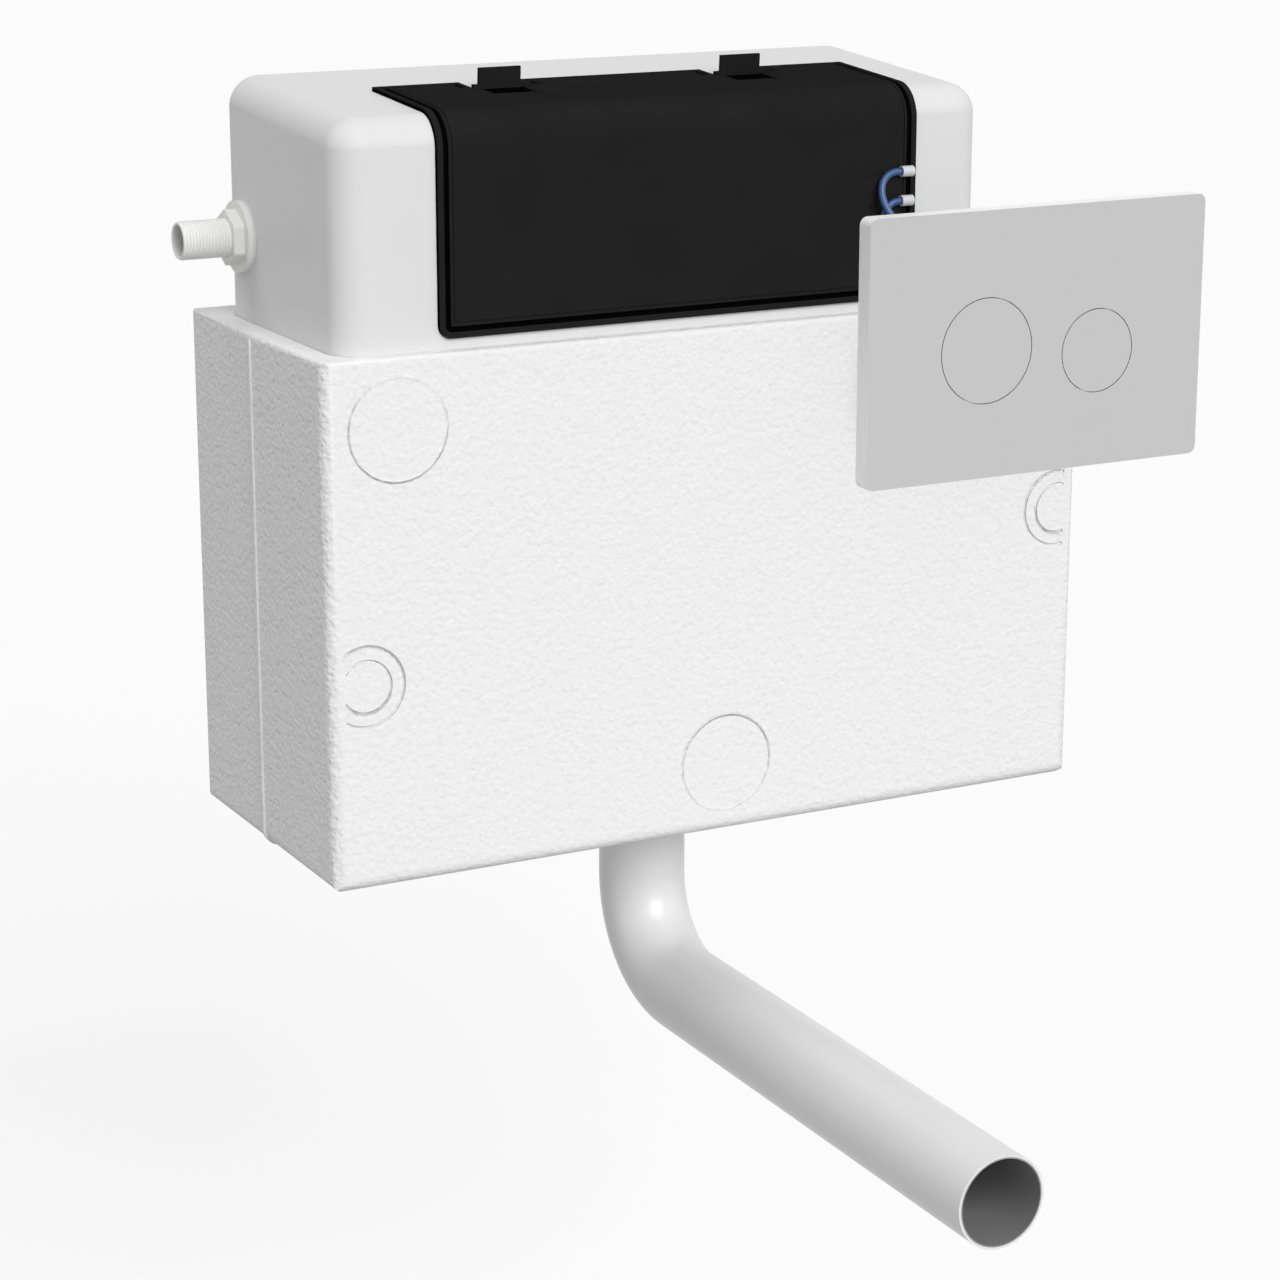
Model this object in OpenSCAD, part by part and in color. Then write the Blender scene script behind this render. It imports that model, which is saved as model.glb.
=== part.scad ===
// Concealed toilet cistern: a blow-moulded tank in a two-part polystyrene jacket,
// with a side-entry fill valve, an air-operated dual flush valve, a bent flush pipe
// and a two-button flush plate joined to the tank by two air hoses.
// Frame: X to the right, Y towards the wall, Z up. The origin is midway between
// the two wall fixing holes, in the plane of the wall.

/* [Jacket] */
// Width of the insulation jacket
jacket_w = 465; // [450:1:520]
// Depth of the jacket, from the wall to its front face
jacket_d = 190; // [184:1:220]
// Height of the jacket
jacket_h = 285; // [275:1:330]
// Thickness of the jacket's side walls
jacket_side_wall = 13.5; // [9:0.5:20]
// Thickness of the jacket's front wall
jacket_front_wall = 8; // [6:0.5:14]
// Thickness of the jacket's back wall
jacket_back_wall = 22; // [16:0.5:26]
// Thickness of the jacket's floor
jacket_floor = 26; // [24:0.5:32]
// Distance of the seam between the two halves from the wall
seam_y = 90; // [70:1:110]
// Width of the tongue along the seam
seam_tongue_w = 4; // [3:0.5:5]
// Height of the tongue along the seam
seam_tongue_h = 5; // [3:0.5:8]
// Rounding of the jacket's lower edges
jacket_bottom_r = 9; // [4:0.5:14]
// Rounding of the jacket's upright edges
jacket_edge_r = 7; // [2:0.5:8]
// Rounding of the jacket's upper edges
jacket_top_r = 3; // [1:0.5:5]
// Width of the raised bead that marks the seam
seam_bead_w = 2.2; // [1:0.1:4]
// Height of the raised bead that marks the seam
seam_bead_h = 1.2; // [0.4:0.1:1.5]
// Diameter of the round mould marks
mark_d = 57; // [40:1:70]
// Outer diameter of the double mould marks
double_mark_d = 45; // [34:1:56]
// Inner diameter of the double mould marks
double_mark_inner_d = 30; // [18:1:32]
// Place of the upper round mould mark: right of the centre, and below the rim
high_mark_at = [-191, 37.5];
// Place of the lower round mould mark: right of the centre, and above the bottom
low_mark_at = [3, 40.5];
// Places of the double mould marks
double_mark_at = [[-212, 172.5], [219, 123]];
// Width of a mould mark's line
mark_line = 1.6; // [1:0.2:3]
// Height by which a raised mark stands proud
mark_raise = 0.5; // [0.2:0.1:0.9]
// Depth of a mould mark's line
mark_depth = 1.2; // [0.6:0.1:2]

/* [Tank] */
// Wall of the tank
tank_wall = 3; // [2.5:0.1:4]
// Rounding of the tank's edges
tank_r = 17; // [12:0.5:20]
// Height of the tank's top above the jacket's rim, at the back
tank_rise_back = 131; // [120:1:150]
// Height of the tank's top above the jacket's rim, at the front
tank_rise_front = 119.5; // [112:0.5:140]
// Width by which the tank is narrower above the jacket, on the right
tank_step = 51; // [30:1:70]
// Gap between the tank and the jacket
jacket_gap = 0.3; // [0.2:0.1:1]

/* [Wall brackets] */
// Height of the wall fixing holes above the jacket's rim
fixing_rise = 70; // [60:1:90]
// Distance between the two wall fixing holes
fixing_span = 280; // [240:5:290]
// Radius of a wall fixing hole
fixing_hole_r = 3.25; // [2.5:0.05:4]
// Width of a bracket
bracket_w = 32; // [24:1:40]
// Thickness of a bracket
bracket_t = 2; // [1.5:0.5:3]
// Height of a bracket's top above its wall fixing hole
bracket_rise = 20; // [12:1:40]
// Height of a bracket's shelf above the jacket's rim
bracket_shelf = 45; // [40:1:50]
// Height of a bracket's lower end above the jacket's rim
bracket_foot = 8; // [4:1:14]

/* [Access cover] */
// Left edge of the cover
cover_left = -164; // [-180:1:-140]
// Right edge of the cover
cover_right = 122.5; // [110:0.5:130]
// Height of the cover's lower edge above the jacket's rim
cover_rise = 6; // [4:0.5:14]
// Distance of the cover's back edge from the wall
cover_back = 102; // [90:1:110]
// Thickness of the cover
cover_t = 3; // [2:0.1:3.4]
// Height by which the cover stands proud of the tank
cover_proud = 2.2; // [1.6:0.1:2.6]
// Rounding of the cover's lower corners
cover_corner_r = 7; // [4:0.5:12]
// Gap between the cover's edge and the recess in the tank
cover_gap = 0.5; // [0.3:0.1:1]
// Width of the flat rim round the cover
rim_w = 3.2; // [2.6:0.1:3.6]
// Width of the groove inside the rim
groove_w = 3; // [2:0.1:3.2]
// Depth of the groove inside the rim
groove_depth = 1.4; // [0.8:0.1:1.6]
// Width of the ridge inside the groove
ridge_w = 1.5; // [1:0.1:1.8]
// Width of the fine line inside the ridge
fine_line_w = 0.8; // [0.5:0.1:1]
// Depth of the fine line inside the ridge
fine_line_depth = 0.5; // [0.3:0.1:0.8]
// Width of the ledge in the tank that carries the cover
ledge_w = 8; // [7:0.5:12]
// Width of a notch in the cover's back edge
notch_w = 34; // [30:1:40]
// Depth of a notch in the cover's back edge
notch_d = 16; // [10:1:22]
// Left edges of the two notches
notch_x = [-114, 32];
// Width of a release tongue
tongue_w = 24.6; // [18:0.1:29]
// Height of a release tongue above the tank's top
tongue_h = 12.5; // [10:0.5:20]
// Thickness of a release tongue
tongue_t = 1.8; // [1.4:0.1:3]
// Height of the lip that carries a tongue
lip_h = 3.8; // [3:0.1:6]
// Length of the finger pocket in front of a release tongue
pocket_l = 25; // [12:1:30]
// Depth of the finger pocket
pocket_depth = 1.5; // [0.8:0.1:1.8]
// Depth of the channels beside the hose elbows
dent_depth = 0.6; // [0.4:0.1:1.4]
// Depth of the locating rib under the cover
rib_depth = 6; // [4:0.5:9]

/* [Water inlet] */
// Radius of the half-inch threaded tail
inlet_r = 10.475; // [10:0.005:11]
// Bore of the threaded tail
inlet_bore_r = 8.5; // [6:0.1:9]
// Length of the tail outside the tank
inlet_length = 37; // [30:1:50]
// Height of the inlet above the jacket's rim
inlet_rise = 45.5; // [40:0.5:60]
// Distance of the inlet from the wall
inlet_y = 50; // [46:1:60]
// Height by which the tank's round inlet pad stands out
pad_proud = 1; // [0.5:0.5:3]
// Width across the flats of the back nut
nut_af = 27; // [26:0.5:30]
// Thickness of the back nut's hexagon
nut_t = 6; // [5:0.5:10]
// Radius of the back nut's flange
nut_flange_r = 19.5; // [17:0.5:22]
// Thickness of the back nut's flange
nut_flange_t = 3; // [2:0.5:4]

/* [Fill valve] */
// Distance of the fill valve's column from the tank's left wall
fill_reach = 54; // [50:1:70]
// Radius of the fill valve's head
fill_head_r = 17; // [15:0.5:18]
// Height of the fill valve's head
fill_head_h = 46; // [44:1:56]
// Radius of the column that carries the float
fill_column_r = 9; // [7:0.5:11]
// Radius of the float cup
float_r = 20; // [18:0.5:21]
// Height of the float cup
float_h = 46; // [36:1:60]
// Travel of the float
float_travel = 12; // [8:1:14]
// Height of the discharge tube's mouth above the tank's floor
discharge_rise = 60; // [20:5:80]
// Distance from the float arm's pivot to the float rod
float_arm_l = 40; // [36:1:44]

/* [Flush valve] */
// Distance of the outlet from the wall
outlet_y = 95; // [90:1:104]
// Radius of the outlet's threaded tail
tail_r = 30; // [29:0.5:33]
// Length of the outlet's threaded tail below the tank
tail_length = 20; // [16:0.5:23]
// Radius of the flange on the flush valve's base
base_flange_r = 46; // [42:1:54]
// Inner radius of the valve seat
seat_r = 24; // [20:0.5:25]
// Radius of the flush valve's cage
cage_r = 38; // [36:0.5:42]
// Height of the cage above the tank's floor
cage_h = 216; // [200:1:224]
// Outer radius of the overflow tube
overflow_r = 14; // [12:0.5:16]
// Lift of the overflow plunger at a full flush
plunger_lift = 20; // [14:1:24]
// Lift of the half-flush float
half_lift = 10; // [6:1:12]
// Distance between the axes of the two air actuators
actuator_span = 84; // [80:1:96]
// Radius of an air actuator
actuator_r = 20; // [17:0.5:22]

/* [Flush pipe] */
// Outer diameter of the flush pipe
pipe_d = 50; // [48:0.5:52]
// Wall of the flush pipe
pipe_wall = 2; // [1.6:0.1:3]
// Radius of the bend, at the pipe's axis
bend_r = 55; // [45:1:80]
// Drop from the jacket's floor to the axis of the pipe's arm
pipe_drop = 107; // [90:1:140]
// Reach from the upright axis of the pipe to its open end
pipe_reach = 382; // [300:1:450]

/* [Flush plate] */
// Width of the flush plate
plate_w = 216; // [200:1:240]
// Height of the flush plate
plate_h = 146; // [130:1:165]
// Thickness of the flush plate
plate_t = 11; // [10:0.5:16]
// Rounding of the plate's corners
plate_r = 4.5; // [2:0.5:10]
// Wall of the plate's fascia
fascia_wall = 2.4; // [1.8:0.1:3]
// Position of the plate's centre to the right of the cistern's centre
plate_x = 161.8; // [150:0.1:180]
// Drop of the plate's centre below the jacket's rim
plate_drop = 11.2; // [6:0.2:20]
// Distance from the jacket's front face to the plate's front face
plate_standoff = 60; // [56:1:70]
// Radius of the full-flush button
full_button_r = 28.7; // [26:0.1:31]
// Radius of the half-flush button
half_button_r = 22.9; // [20:0.1:25]
// Distance from the plate's left edge to the full-flush button's axis
full_button_x = 74.7; // [70:0.1:80]
// Distance from the plate's left edge to the half-flush button's axis
half_button_x = 146.8; // [140:0.1:155]
// Height of the lowest point of both buttons above the plate's lower edge
button_rise = 41.3; // [34:0.1:50]
// Gap round a button
button_gap = 0.45; // [0.3:0.05:0.8]
// Travel of a button
button_travel = 5; // [3:0.5:6]
// Depth of a pump housing behind the plate
pump_depth = 32; // [28:1:33]
// Distance between the plate's two fixing holes
plate_fixing_span = 196; // [180:1:200]
// Radius of a plate fixing hole
plate_fixing_r = 2.25; // [1.5:0.05:3]

/* [Air hoses] */
// Outer diameter of an air hose
hose_d = 4; // [3.6:0.1:4.4]
// Sides of a hose's section
hose_sides = 8; // [8:1:12]
// Height of the full-flush hose's elbow above the jacket's rim
full_elbow_rise = 76; // [72:0.5:80]
// Height of the half-flush hose's elbow above the jacket's rim
half_elbow_rise = 60; // [56:0.5:64]
// Length of an elbow's sleeve
sleeve_l = 7.3; // [6:0.1:7.6]
// Outer diameter of an elbow's sleeve
sleeve_d = 6; // [5.6:0.1:6.6]
// Distance from an elbow's sleeve to the cover's side edge
sleeve_inset = 3.5; // [3:0.1:4]

/* [Hidden] */
$fn = 64;

// Small overlap that lets a cut pass clean through a face
over = 1;
// Gap between pieces that are seated on each other
seat_gap = 0.1;
// Radial clearance of a running fit
run_gap = 0.1;
// Rounding facets of the tank's corners
soft_fn = 36;

// Main levels and planes
jacket_top = -fixing_rise;
jacket_bottom = jacket_top - jacket_h;
jacket_front = -jacket_d;
mark_at = [high_mark_at, [low_mark_at[0], jacket_h - low_mark_at[1]]];
tank_left = -jacket_w/2 + jacket_side_wall;
tank_right = jacket_w/2 - jacket_side_wall;
tank_upper_right = tank_right - tank_step;
tank_front = jacket_front + jacket_front_wall;
tank_back = -jacket_back_wall;
tank_floor = jacket_bottom + jacket_floor;
floor_inside = tank_floor + tank_wall;

// The sloping top of the tank
tank_top_front = jacket_top + tank_rise_front;
top_slope = atan((tank_rise_back - tank_rise_front) / (tank_back - tank_front));
function top_z(y) = tank_top_front + (y - tank_front) * tan(top_slope);
// Centre of the rounding between the front face and the top
arc_y = tank_front + tank_r;
arc_z = top_z(arc_y) - tank_r / cos(top_slope);

// The wall brackets
bracket_foot_z = jacket_top + bracket_foot;
bracket_shelf_z = jacket_top + bracket_shelf;
bracket_screw_z = (bracket_foot_z + bracket_shelf_z) / 2;
bracket_screw_r = 2.5;
bracket_screw_l = 12;
bracket_boss_r = 8;

// The cover's edges
cover_bottom = jacket_top + cover_rise;
recess_depth = cover_t - cover_proud + seat_gap;
rib_t = 2;
rib_gap = 1;
elbow_x = cover_right - 6.1;
sleeve_left = cover_right - sleeve_inset - sleeve_l;
// Axis of a hose where it lies against the cover's front
hose_front_y = tank_front - cover_proud - hose_d/2 - 0.2;
full_elbow_z = jacket_top + full_elbow_rise;
half_elbow_z = jacket_top + half_elbow_rise;
spigot_tip_y = tank_front + 10;
spigot_r = 1.6;

// The water inlet
inlet_z = jacket_top + inlet_rise;
inlet_flange_t = 3;
inlet_flange_r = nut_flange_r - 2.5;
inlet_collar_t = 4;
fill_socket_l = 6;
inlet_washer_t = 2.5;
inside_left = tank_left + tank_wall;
pad_outer_x = tank_left - pad_proud;
pad_inner_x = inside_left + 3;
inlet_end_x = tank_left - inlet_length;
fill_socket_r = 13;
fill_cap_t = 8;
fill_skirt = 4;
fill_x = tank_left + fill_reach;
fill_head_bottom = inlet_z - fill_socket_r - 4;
fill_head_top = fill_head_bottom + fill_head_h;
float_top = fill_head_bottom - 42;
arm_z = fill_head_bottom - 7;
arm_pivot_x = fill_x + fill_head_r + 5;
arm_t = 3;
arm_w = 8;
arm_pin_r = 1.5;
float_rod_r = 1.5;
float_rod_x = arm_pivot_x + float_arm_l;
collar_gap = 1.8;
collar_r = 3.2;
collar_t = 2;
float_shelf_t = 4;
column_bottom = float_top - float_h - 16;

// The outlet
pipe_r = pipe_d/2;
pipe_bore_r = pipe_r - pipe_wall;
tail_bore_r = pipe_r + 0.3;
tail_bottom = tank_floor - tail_length;
base_flange_t = 3;
base_washer_t = 3;
base_z = floor_inside + base_washer_t + 2*seat_gap;
seat_z = base_z + 14;
outlet_nut_r = 42;
outlet_nut_t = 12;
jacket_hole_r = outlet_nut_r + 2;
pipe_top = tank_floor + 1;
pipe_seal_t = 6;
arm_axis_z = jacket_bottom - pipe_drop;
pipe_end = -outlet_y - pipe_reach;
bend_y = -outlet_y - bend_r;
bend_z = arm_axis_z + bend_r;

// The flush valve
deck_z = floor_inside + cage_h;
deck_t = 3;
cage_wall = 2.2;
seal_t = 3;
seal_z = seat_z + seat_gap;
yoke_t = 6;
yoke_w = 14;
actuator_wall = 2;
piston_foot_t = 1.6;
actuator_h = plunger_lift + piston_foot_t + 2*actuator_wall + 3;
actuator_base = deck_z + deck_t + seat_gap;
actuator_top = actuator_base + actuator_h;
half_yoke_z = actuator_top + 18;
full_yoke_z = half_yoke_z + yoke_t + half_lift + 4;
piston_r = 4;
half_float_r = 30;
half_float_h = 44;
half_float_z = seat_z + 60;
half_rod_r = 2;
half_rod_x = overflow_r + 9;
nipple_r = 1.6;
nipple_l = 8;
nipple_rise = 9;

// The plate
plate_left = plate_x - plate_w/2;
plate_z = jacket_top - plate_drop;
plate_bottom = plate_z - plate_h/2;
plate_front = jacket_front - plate_standoff;
plate_back = plate_front + plate_t;
frame_t = 3;
frame_back = plate_back - 2;
frame_front = frame_back - frame_t;
frame_gap = 0.3;
guide_wall = 2;
full_x = plate_left + full_button_x;
half_x = plate_left + half_button_x;
full_z = plate_bottom + button_rise + full_button_r;
half_z = plate_bottom + button_rise + half_button_r;
pump_wall = 2;
pump_back = frame_back + pump_depth;
stem_r = 6;
stem_tip = frame_back + 6;
bellows_gap = 0.2;
pry_slot_l = 21;
pry_slot_w = 1.2;
pry_slot_drop = 67.5;
pump_nipple_y = frame_back + 22;
full_pump_r = full_button_r - 1.2;
half_pump_r = half_button_r - 1.2;

// Routes of the four air hoses, in millimetres
full_outer_route = [
  [111.6, -186.4, 6], [106.8, -186.4, 5.8], [102.2, -186.8, 3.8], [99, -187.9, 0], [97.8, -189.5, -5],
  [98.6, -191.5, -10.5], [101, -194.2, -16], [104.6, -197.6, -21], [109.2, -201.6, -25.2],
  [114.4, -206, -28.4], [119.6, -210.6, -31.4], [124, -214.8, -34.8], [127, -217.8, -38.8],
  [128.5, -219, -43.6], [128.5, -219, -48.7]
];
half_outer_route = [
  [111.6, -186.4, -10], [107.2, -186.4, -10.6], [103.2, -186.6, -13], [100.8, -186.9, -17],
  [100.6, -187.6, -22], [102.4, -188.8, -27.5], [106.5, -190.4, -32], [112.5, -192, -35],
  [120, -193.4, -36.6], [129, -194.6, -37], [139, -195.6, -37], [149, -196.6, -37],
  [158.6, -198.4, -37], [168, -201.2, -37.6], [177, -205.2, -39], [185, -209.8, -41.6],
  [192, -214.2, -45.6], [197.4, -217.6, -50.2], [200.6, -219, -55.2], [200.6, -219, -60.3]
];
full_inner_route = [
  [116.4, -172, 6], [116.4, -166, 6], [115.2, -159, 5], [110.8, -153, 3], [103.4, -149, 0],
  [94, -147, -4], [83, -146, -9], [72, -146, -15], [61, -147, -22], [50, -148, -30],
  [39, -149, -38], [28, -150, -46], [17, -151, -54], [6, -152, -62], [-5, -152, -69.5],
  [-16, -151, -77.5], [-26, -148, -85], [-35, -143, -91.5], [-40.4, -136, -96],
  [-42, -129, -97.9], [-42, -123.1, -97.9]
];
half_inner_route = [
  [116.4, -172, -10], [116.4, -166, -10], [115.8, -159, -11], [113.8, -152.5, -14],
  [109.4, -147.5, -19], [103.3, -144.5, -25.5], [96.5, -143, -33], [89.5, -142.5, -41],
  [82.5, -142.5, -49.5], [75.5, -142.6, -58], [68.5, -142.8, -66.5], [61.5, -142.6, -74.5],
  [54.5, -141.4, -83], [48, -138.4, -90.6], [43.8, -134.4, -96], [42, -129, -97.9],
  [42, -123.1, -97.9]
];

// A rectangle with its own rounding at each corner: lower left, lower right, upper right, upper left
module rounded_rect(x0, x1, y0, y1, r) {
  difference() {
    translate([x0, y0]) square([x1 - x0, y1 - y0]);
    corner_cut(x0, y0, 1, 1, r[0]);
    corner_cut(x1, y0, -1, 1, r[1]);
    corner_cut(x1, y1, -1, -1, r[2]);
    corner_cut(x0, y1, 1, -1, r[3]);
  }
}

// What a rounding takes off one corner
module corner_cut(x, y, sx, sy, r) {
  if (r > 0) translate([x, y]) scale_signs(sx, sy) difference() {
    translate([-over, -over]) square(r + over);
    translate([r, r]) circle(r);
  }
}

// Mirrors a corner into its quadrant
module scale_signs(sx, sy) {
  mirror([sx < 0 ? 1 : 0, 0]) mirror([0, sy < 0 ? 1 : 0]) children();
}

// A tube along +Z
module tube(r_out, r_in, h) {
  difference() {
    cylinder(r = r_out, h = h);
    translate([0, 0, -over]) cylinder(r = r_in, h = h + 2*over);
  }
}

// Turns a shape that stands along +Z so that it points along -X, +X, -Y or +Y
module along_left() { rotate([0, -90, 0]) children(); }
module along_right() { rotate([0, 90, 0]) children(); }
module along_front() { rotate([90, 0, 0]) children(); }
module along_back() { rotate([-90, 0, 0]) children(); }

// A flat outline in X and Z, made solid from y0 towards the wall
module upright_slab(y0, depth) {
  translate([0, y0 + depth, 0]) along_front() linear_extrude(depth) children();
}

// A side outline in Y and Z, made solid from x0 to the right
module side_slab(x0, width) {
  translate([x0, 0, 0]) rotate([90, 0, 90]) linear_extrude(width) children();
}

// Jacket

// The jacket's outer form, before it is halved
module jacket_outer() {
  intersection() {
    upright_slab(jacket_front, jacket_d)
      rounded_rect(-jacket_w/2, jacket_w/2, jacket_bottom, jacket_top,
        [jacket_bottom_r, jacket_bottom_r, jacket_top_r, jacket_top_r]);
    side_slab(-jacket_w/2, jacket_w)
      rounded_rect(jacket_front, 0, jacket_bottom, jacket_top,
        [jacket_bottom_r, jacket_bottom_r, jacket_top_r, jacket_top_r]);
    translate([0, 0, jacket_bottom]) linear_extrude(jacket_h)
      rounded_rect(-jacket_w/2, jacket_w/2, jacket_front, 0,
        [jacket_edge_r, jacket_edge_r, jacket_edge_r, jacket_edge_r]);
  }
}

// The room for the tank and for the outlet's nut
module jacket_room() {
  g = jacket_gap;
  r = tank_r + g;
  translate([0, 0, tank_floor - g]) linear_extrude(jacket_h)
    rounded_rect(tank_left - g, tank_right + g, tank_front - g, tank_back + g, [r, r, r, r]);
  translate([0, -outlet_y, jacket_bottom - seam_bead_h - over])
    cylinder(r = jacket_hole_r, h = jacket_floor + seam_bead_h + 2*over);
}

// The seam's tongue, a frame midway in the jacket's walls, grown by g
module seam_tongue(g) {
  x_mid = (jacket_w/2 + tank_right) / 2;
  z_mid = jacket_bottom + jacket_floor/2;
  half = seam_tongue_w/2 + g;
  upright_slab(-seam_y - over, seam_tongue_h + over + g) {
    for (s = [-1, 1]) translate([s*x_mid - half, z_mid]) square([2*half, jacket_top - z_mid - 12 + g]);
    for (s = [-1, 1]) translate([s > 0 ? jacket_hole_r + 12 - g : -x_mid, z_mid - half])
      square([x_mid - jacket_hole_r - 12 + g, 2*half]);
  }
}

// The bead that marks the seam on the outside
module seam_bead() {
  h = seam_bead_h;
  r = jacket_bottom_r + h;
  upright_slab(-seam_y - seam_bead_w, seam_bead_w) difference() {
    rounded_rect(-jacket_w/2 - h, jacket_w/2 + h, jacket_bottom - h, jacket_top - jacket_top_r, [r, r, 0, 0]);
    rounded_rect(-jacket_w/2 + over, jacket_w/2 - over, jacket_bottom + over, jacket_top + over,
      [jacket_bottom_r - over, jacket_bottom_r - over, 0, 0]);
  }
}

// A round mould mark cut into the front face
module mark(x, drop, d) {
  translate([x, jacket_front + mark_depth, jacket_top - drop]) along_front()
    tube(d/2, d/2 - mark_line, mark_depth + over);
}

// A ring that stands a little proud of the front
module raised_mark(x, drop) {
  r = mark_line/2 + 0.2;
  translate([x, jacket_front + r - mark_raise, jacket_top - drop]) along_front()
    rotate_extrude() translate([mark_d/2 - r, 0]) circle(r = r);
}

module insulation_front_shell() {
  color([0.94, 0.94, 0.93]) difference() {
    union() {
      intersection() {
        jacket_outer();
        translate([-jacket_w, jacket_front - over, jacket_bottom - over])
          cube([2*jacket_w, jacket_d - seam_y + over, jacket_h + 2*over]);
      }
      seam_tongue(0);
      seam_bead();
      for (m = mark_at) raised_mark(m[0], m[1]);
    }
    jacket_room();
    for (m = double_mark_at) double_mark(m[0], m[1]);
  }
}

// Two rings, one in the other, cut short near the jacket's upright edge
module double_mark(x, drop) {
  edge = jacket_w/2 - 9;
  intersection() {
    union() {
      mark(x, drop, double_mark_d);
      mark(x, drop, double_mark_inner_d);
    }
    translate([-edge, jacket_front - 2*over, jacket_bottom]) cube([2*edge, 10, jacket_h]);
  }
}

module insulation_rear_shell() {
  color([0.9, 0.9, 0.9]) difference() {
    intersection() {
      jacket_outer();
      translate([-jacket_w, -seam_y + seat_gap, jacket_bottom - over])
        cube([2*jacket_w, seam_y, jacket_h + 2*over]);
    }
    jacket_room();
    seam_tongue(jacket_gap);
  }
}

// Tank

// The tank's form, inset by t from its outside: a stepped core grown by a ball
module tank_form(t) {
  r = tank_r;
  y0 = tank_front + r;
  y1 = tank_back - r;
  low_z = tank_floor + r;
  core_top = r / cos(top_slope);
  minkowski() {
    union() {
      side_slab(tank_left + r, tank_upper_right - tank_left - 2*r)
        polygon([[y0, low_z], [y1, low_z], [y1, top_z(y1) - core_top], [y0, top_z(y0) - core_top]]);
      translate([tank_left + r, y0, low_z])
        cube([tank_right - tank_left - 2*r, y1 - y0, jacket_top - r - low_z]);
    }
    sphere(r = (r - t) / cos(180/soft_fn), $fn = soft_fn);
  }
}

// Region bounded by the tank's front face and top, moved outwards by o, with its edge rounded
module shell_region(o) {
  y0 = tank_front - o;
  low = cover_bottom - 60;
  rise = o / cos(top_slope);
  r = tank_r + o;
  y_top = arc_y - r*sin(top_slope);
  difference() {
    polygon([[y0, low], [0, low], [0, top_z(0) + rise], [y0, top_z(y0) + rise]]);
    difference() {
      polygon([[arc_y, arc_z], [y0 - over, arc_z], [y0 - over, arc_z + r + 4],
        [y_top - 4*sin(top_slope), arc_z + (r + 4)*cos(top_slope)]]);
      translate([arc_y, arc_z]) circle(r);
    }
  }
}

// A skin between two offsets of the tank's front and top
module shell_band(o_low, o_high) {
  side_slab(cover_left - 20, cover_right - cover_left + 40) difference() {
    shell_region(o_high);
    shell_region(o_low);
  }
}

// The cover's outline seen from above, grown by g, with its two notches
module cover_plan(g) {
  difference() {
    translate([cover_left - g, tank_front - 60])
      square([cover_right - cover_left + 2*g, 60 - tank_front - cover_back + g]);
    for (x = notch_x) translate([x + g, -cover_back - notch_d + g])
      square([notch_w - 2*g, notch_d + 40]);
  }
}

// Everything inside the cover's outline, grown by g
module cover_cutter(g) {
  r = max(cover_corner_r + g, 1);
  translate([0, arc_y + 0.01, 0]) along_front() linear_extrude(90)
    rounded_rect(cover_left - g, cover_right + g, cover_bottom - g, arc_z + over, [r, r, 0, 0]);
  translate([0, 0, arc_z]) linear_extrude(120) cover_plan(g);
}

// The cut in the ledge that lets the two hose elbows through
module hose_slot() {
  translate([cover_right - ledge_w - over, tank_front - 5, half_elbow_z - 5])
    cube([ledge_w + over - 0.8, spigot_tip_y - tank_front + 6, tank_top_front + 5 - half_elbow_z]);
}

module tank() {
  color([0.9, 0.9, 0.9]) difference() {
    union() {
      difference() {
        tank_form(0);
        tank_form(tank_wall);
      }
      bracket_bosses();
      inlet_pad();
    }
    intersection() {
      shell_band(-recess_depth, 12);
      cover_cutter(cover_gap);
    }
    intersection() {
      shell_band(-12, 12);
      cover_cutter(-ledge_w);
    }
    hose_slot();
    translate([pad_outer_x - over, -inlet_y, inlet_z]) along_right()
      cylinder(r = inlet_r + 0.3, h = pad_inner_x - pad_outer_x + 2*over);
    translate([0, -outlet_y, tank_floor - over]) cylinder(r = tail_r + 0.3, h = tank_wall + 2*over);
    for (s = [-1, 1]) translate([s*fixing_span/2, tank_back + over, bracket_screw_z]) along_front()
      cylinder(r = bracket_screw_r + 0.15, h = bracket_screw_l + over);
  }
}

// Wall brackets

// A round pad that gives the inlet's nut and washer flat faces on the tank's rounded wall
module inlet_pad() {
  translate([pad_outer_x, -inlet_y, inlet_z]) along_right()
    cylinder(r = nut_flange_r, h = pad_inner_x - pad_outer_x);
}

// Blind bosses in the tank's back wall that take the bracket screws
module bracket_bosses() {
  for (s = [-1, 1]) translate([s*fixing_span/2, tank_back - 0.5, bracket_screw_z]) along_front()
    cylinder(r = bracket_boss_r, h = bracket_screw_l + tank_wall);
}

module wall_brackets() {
  back = tank_back + seat_gap;
  color([0.72, 0.74, 0.76]) for (s = [-1, 1]) translate([s*fixing_span/2 - bracket_w/2, 0, 0]) difference() {
    union() {
      translate([0, -bracket_t, bracket_shelf_z]) cube([bracket_w, bracket_t, bracket_rise - bracket_shelf_z]);
      translate([0, back, bracket_shelf_z]) cube([bracket_w, -back, bracket_t]);
      translate([0, back, bracket_foot_z])
        cube([bracket_w, bracket_t, bracket_shelf_z + bracket_t - bracket_foot_z]);
    }
    translate([bracket_w/2, over, 0]) along_front() cylinder(r = fixing_hole_r, h = bracket_t + 2*over);
    translate([bracket_w/2, tank_back + bracket_t + 2*over, bracket_screw_z]) along_front()
      cylinder(r = bracket_screw_r + 0.3, h = bracket_t + 4*over);
  }
}

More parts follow.
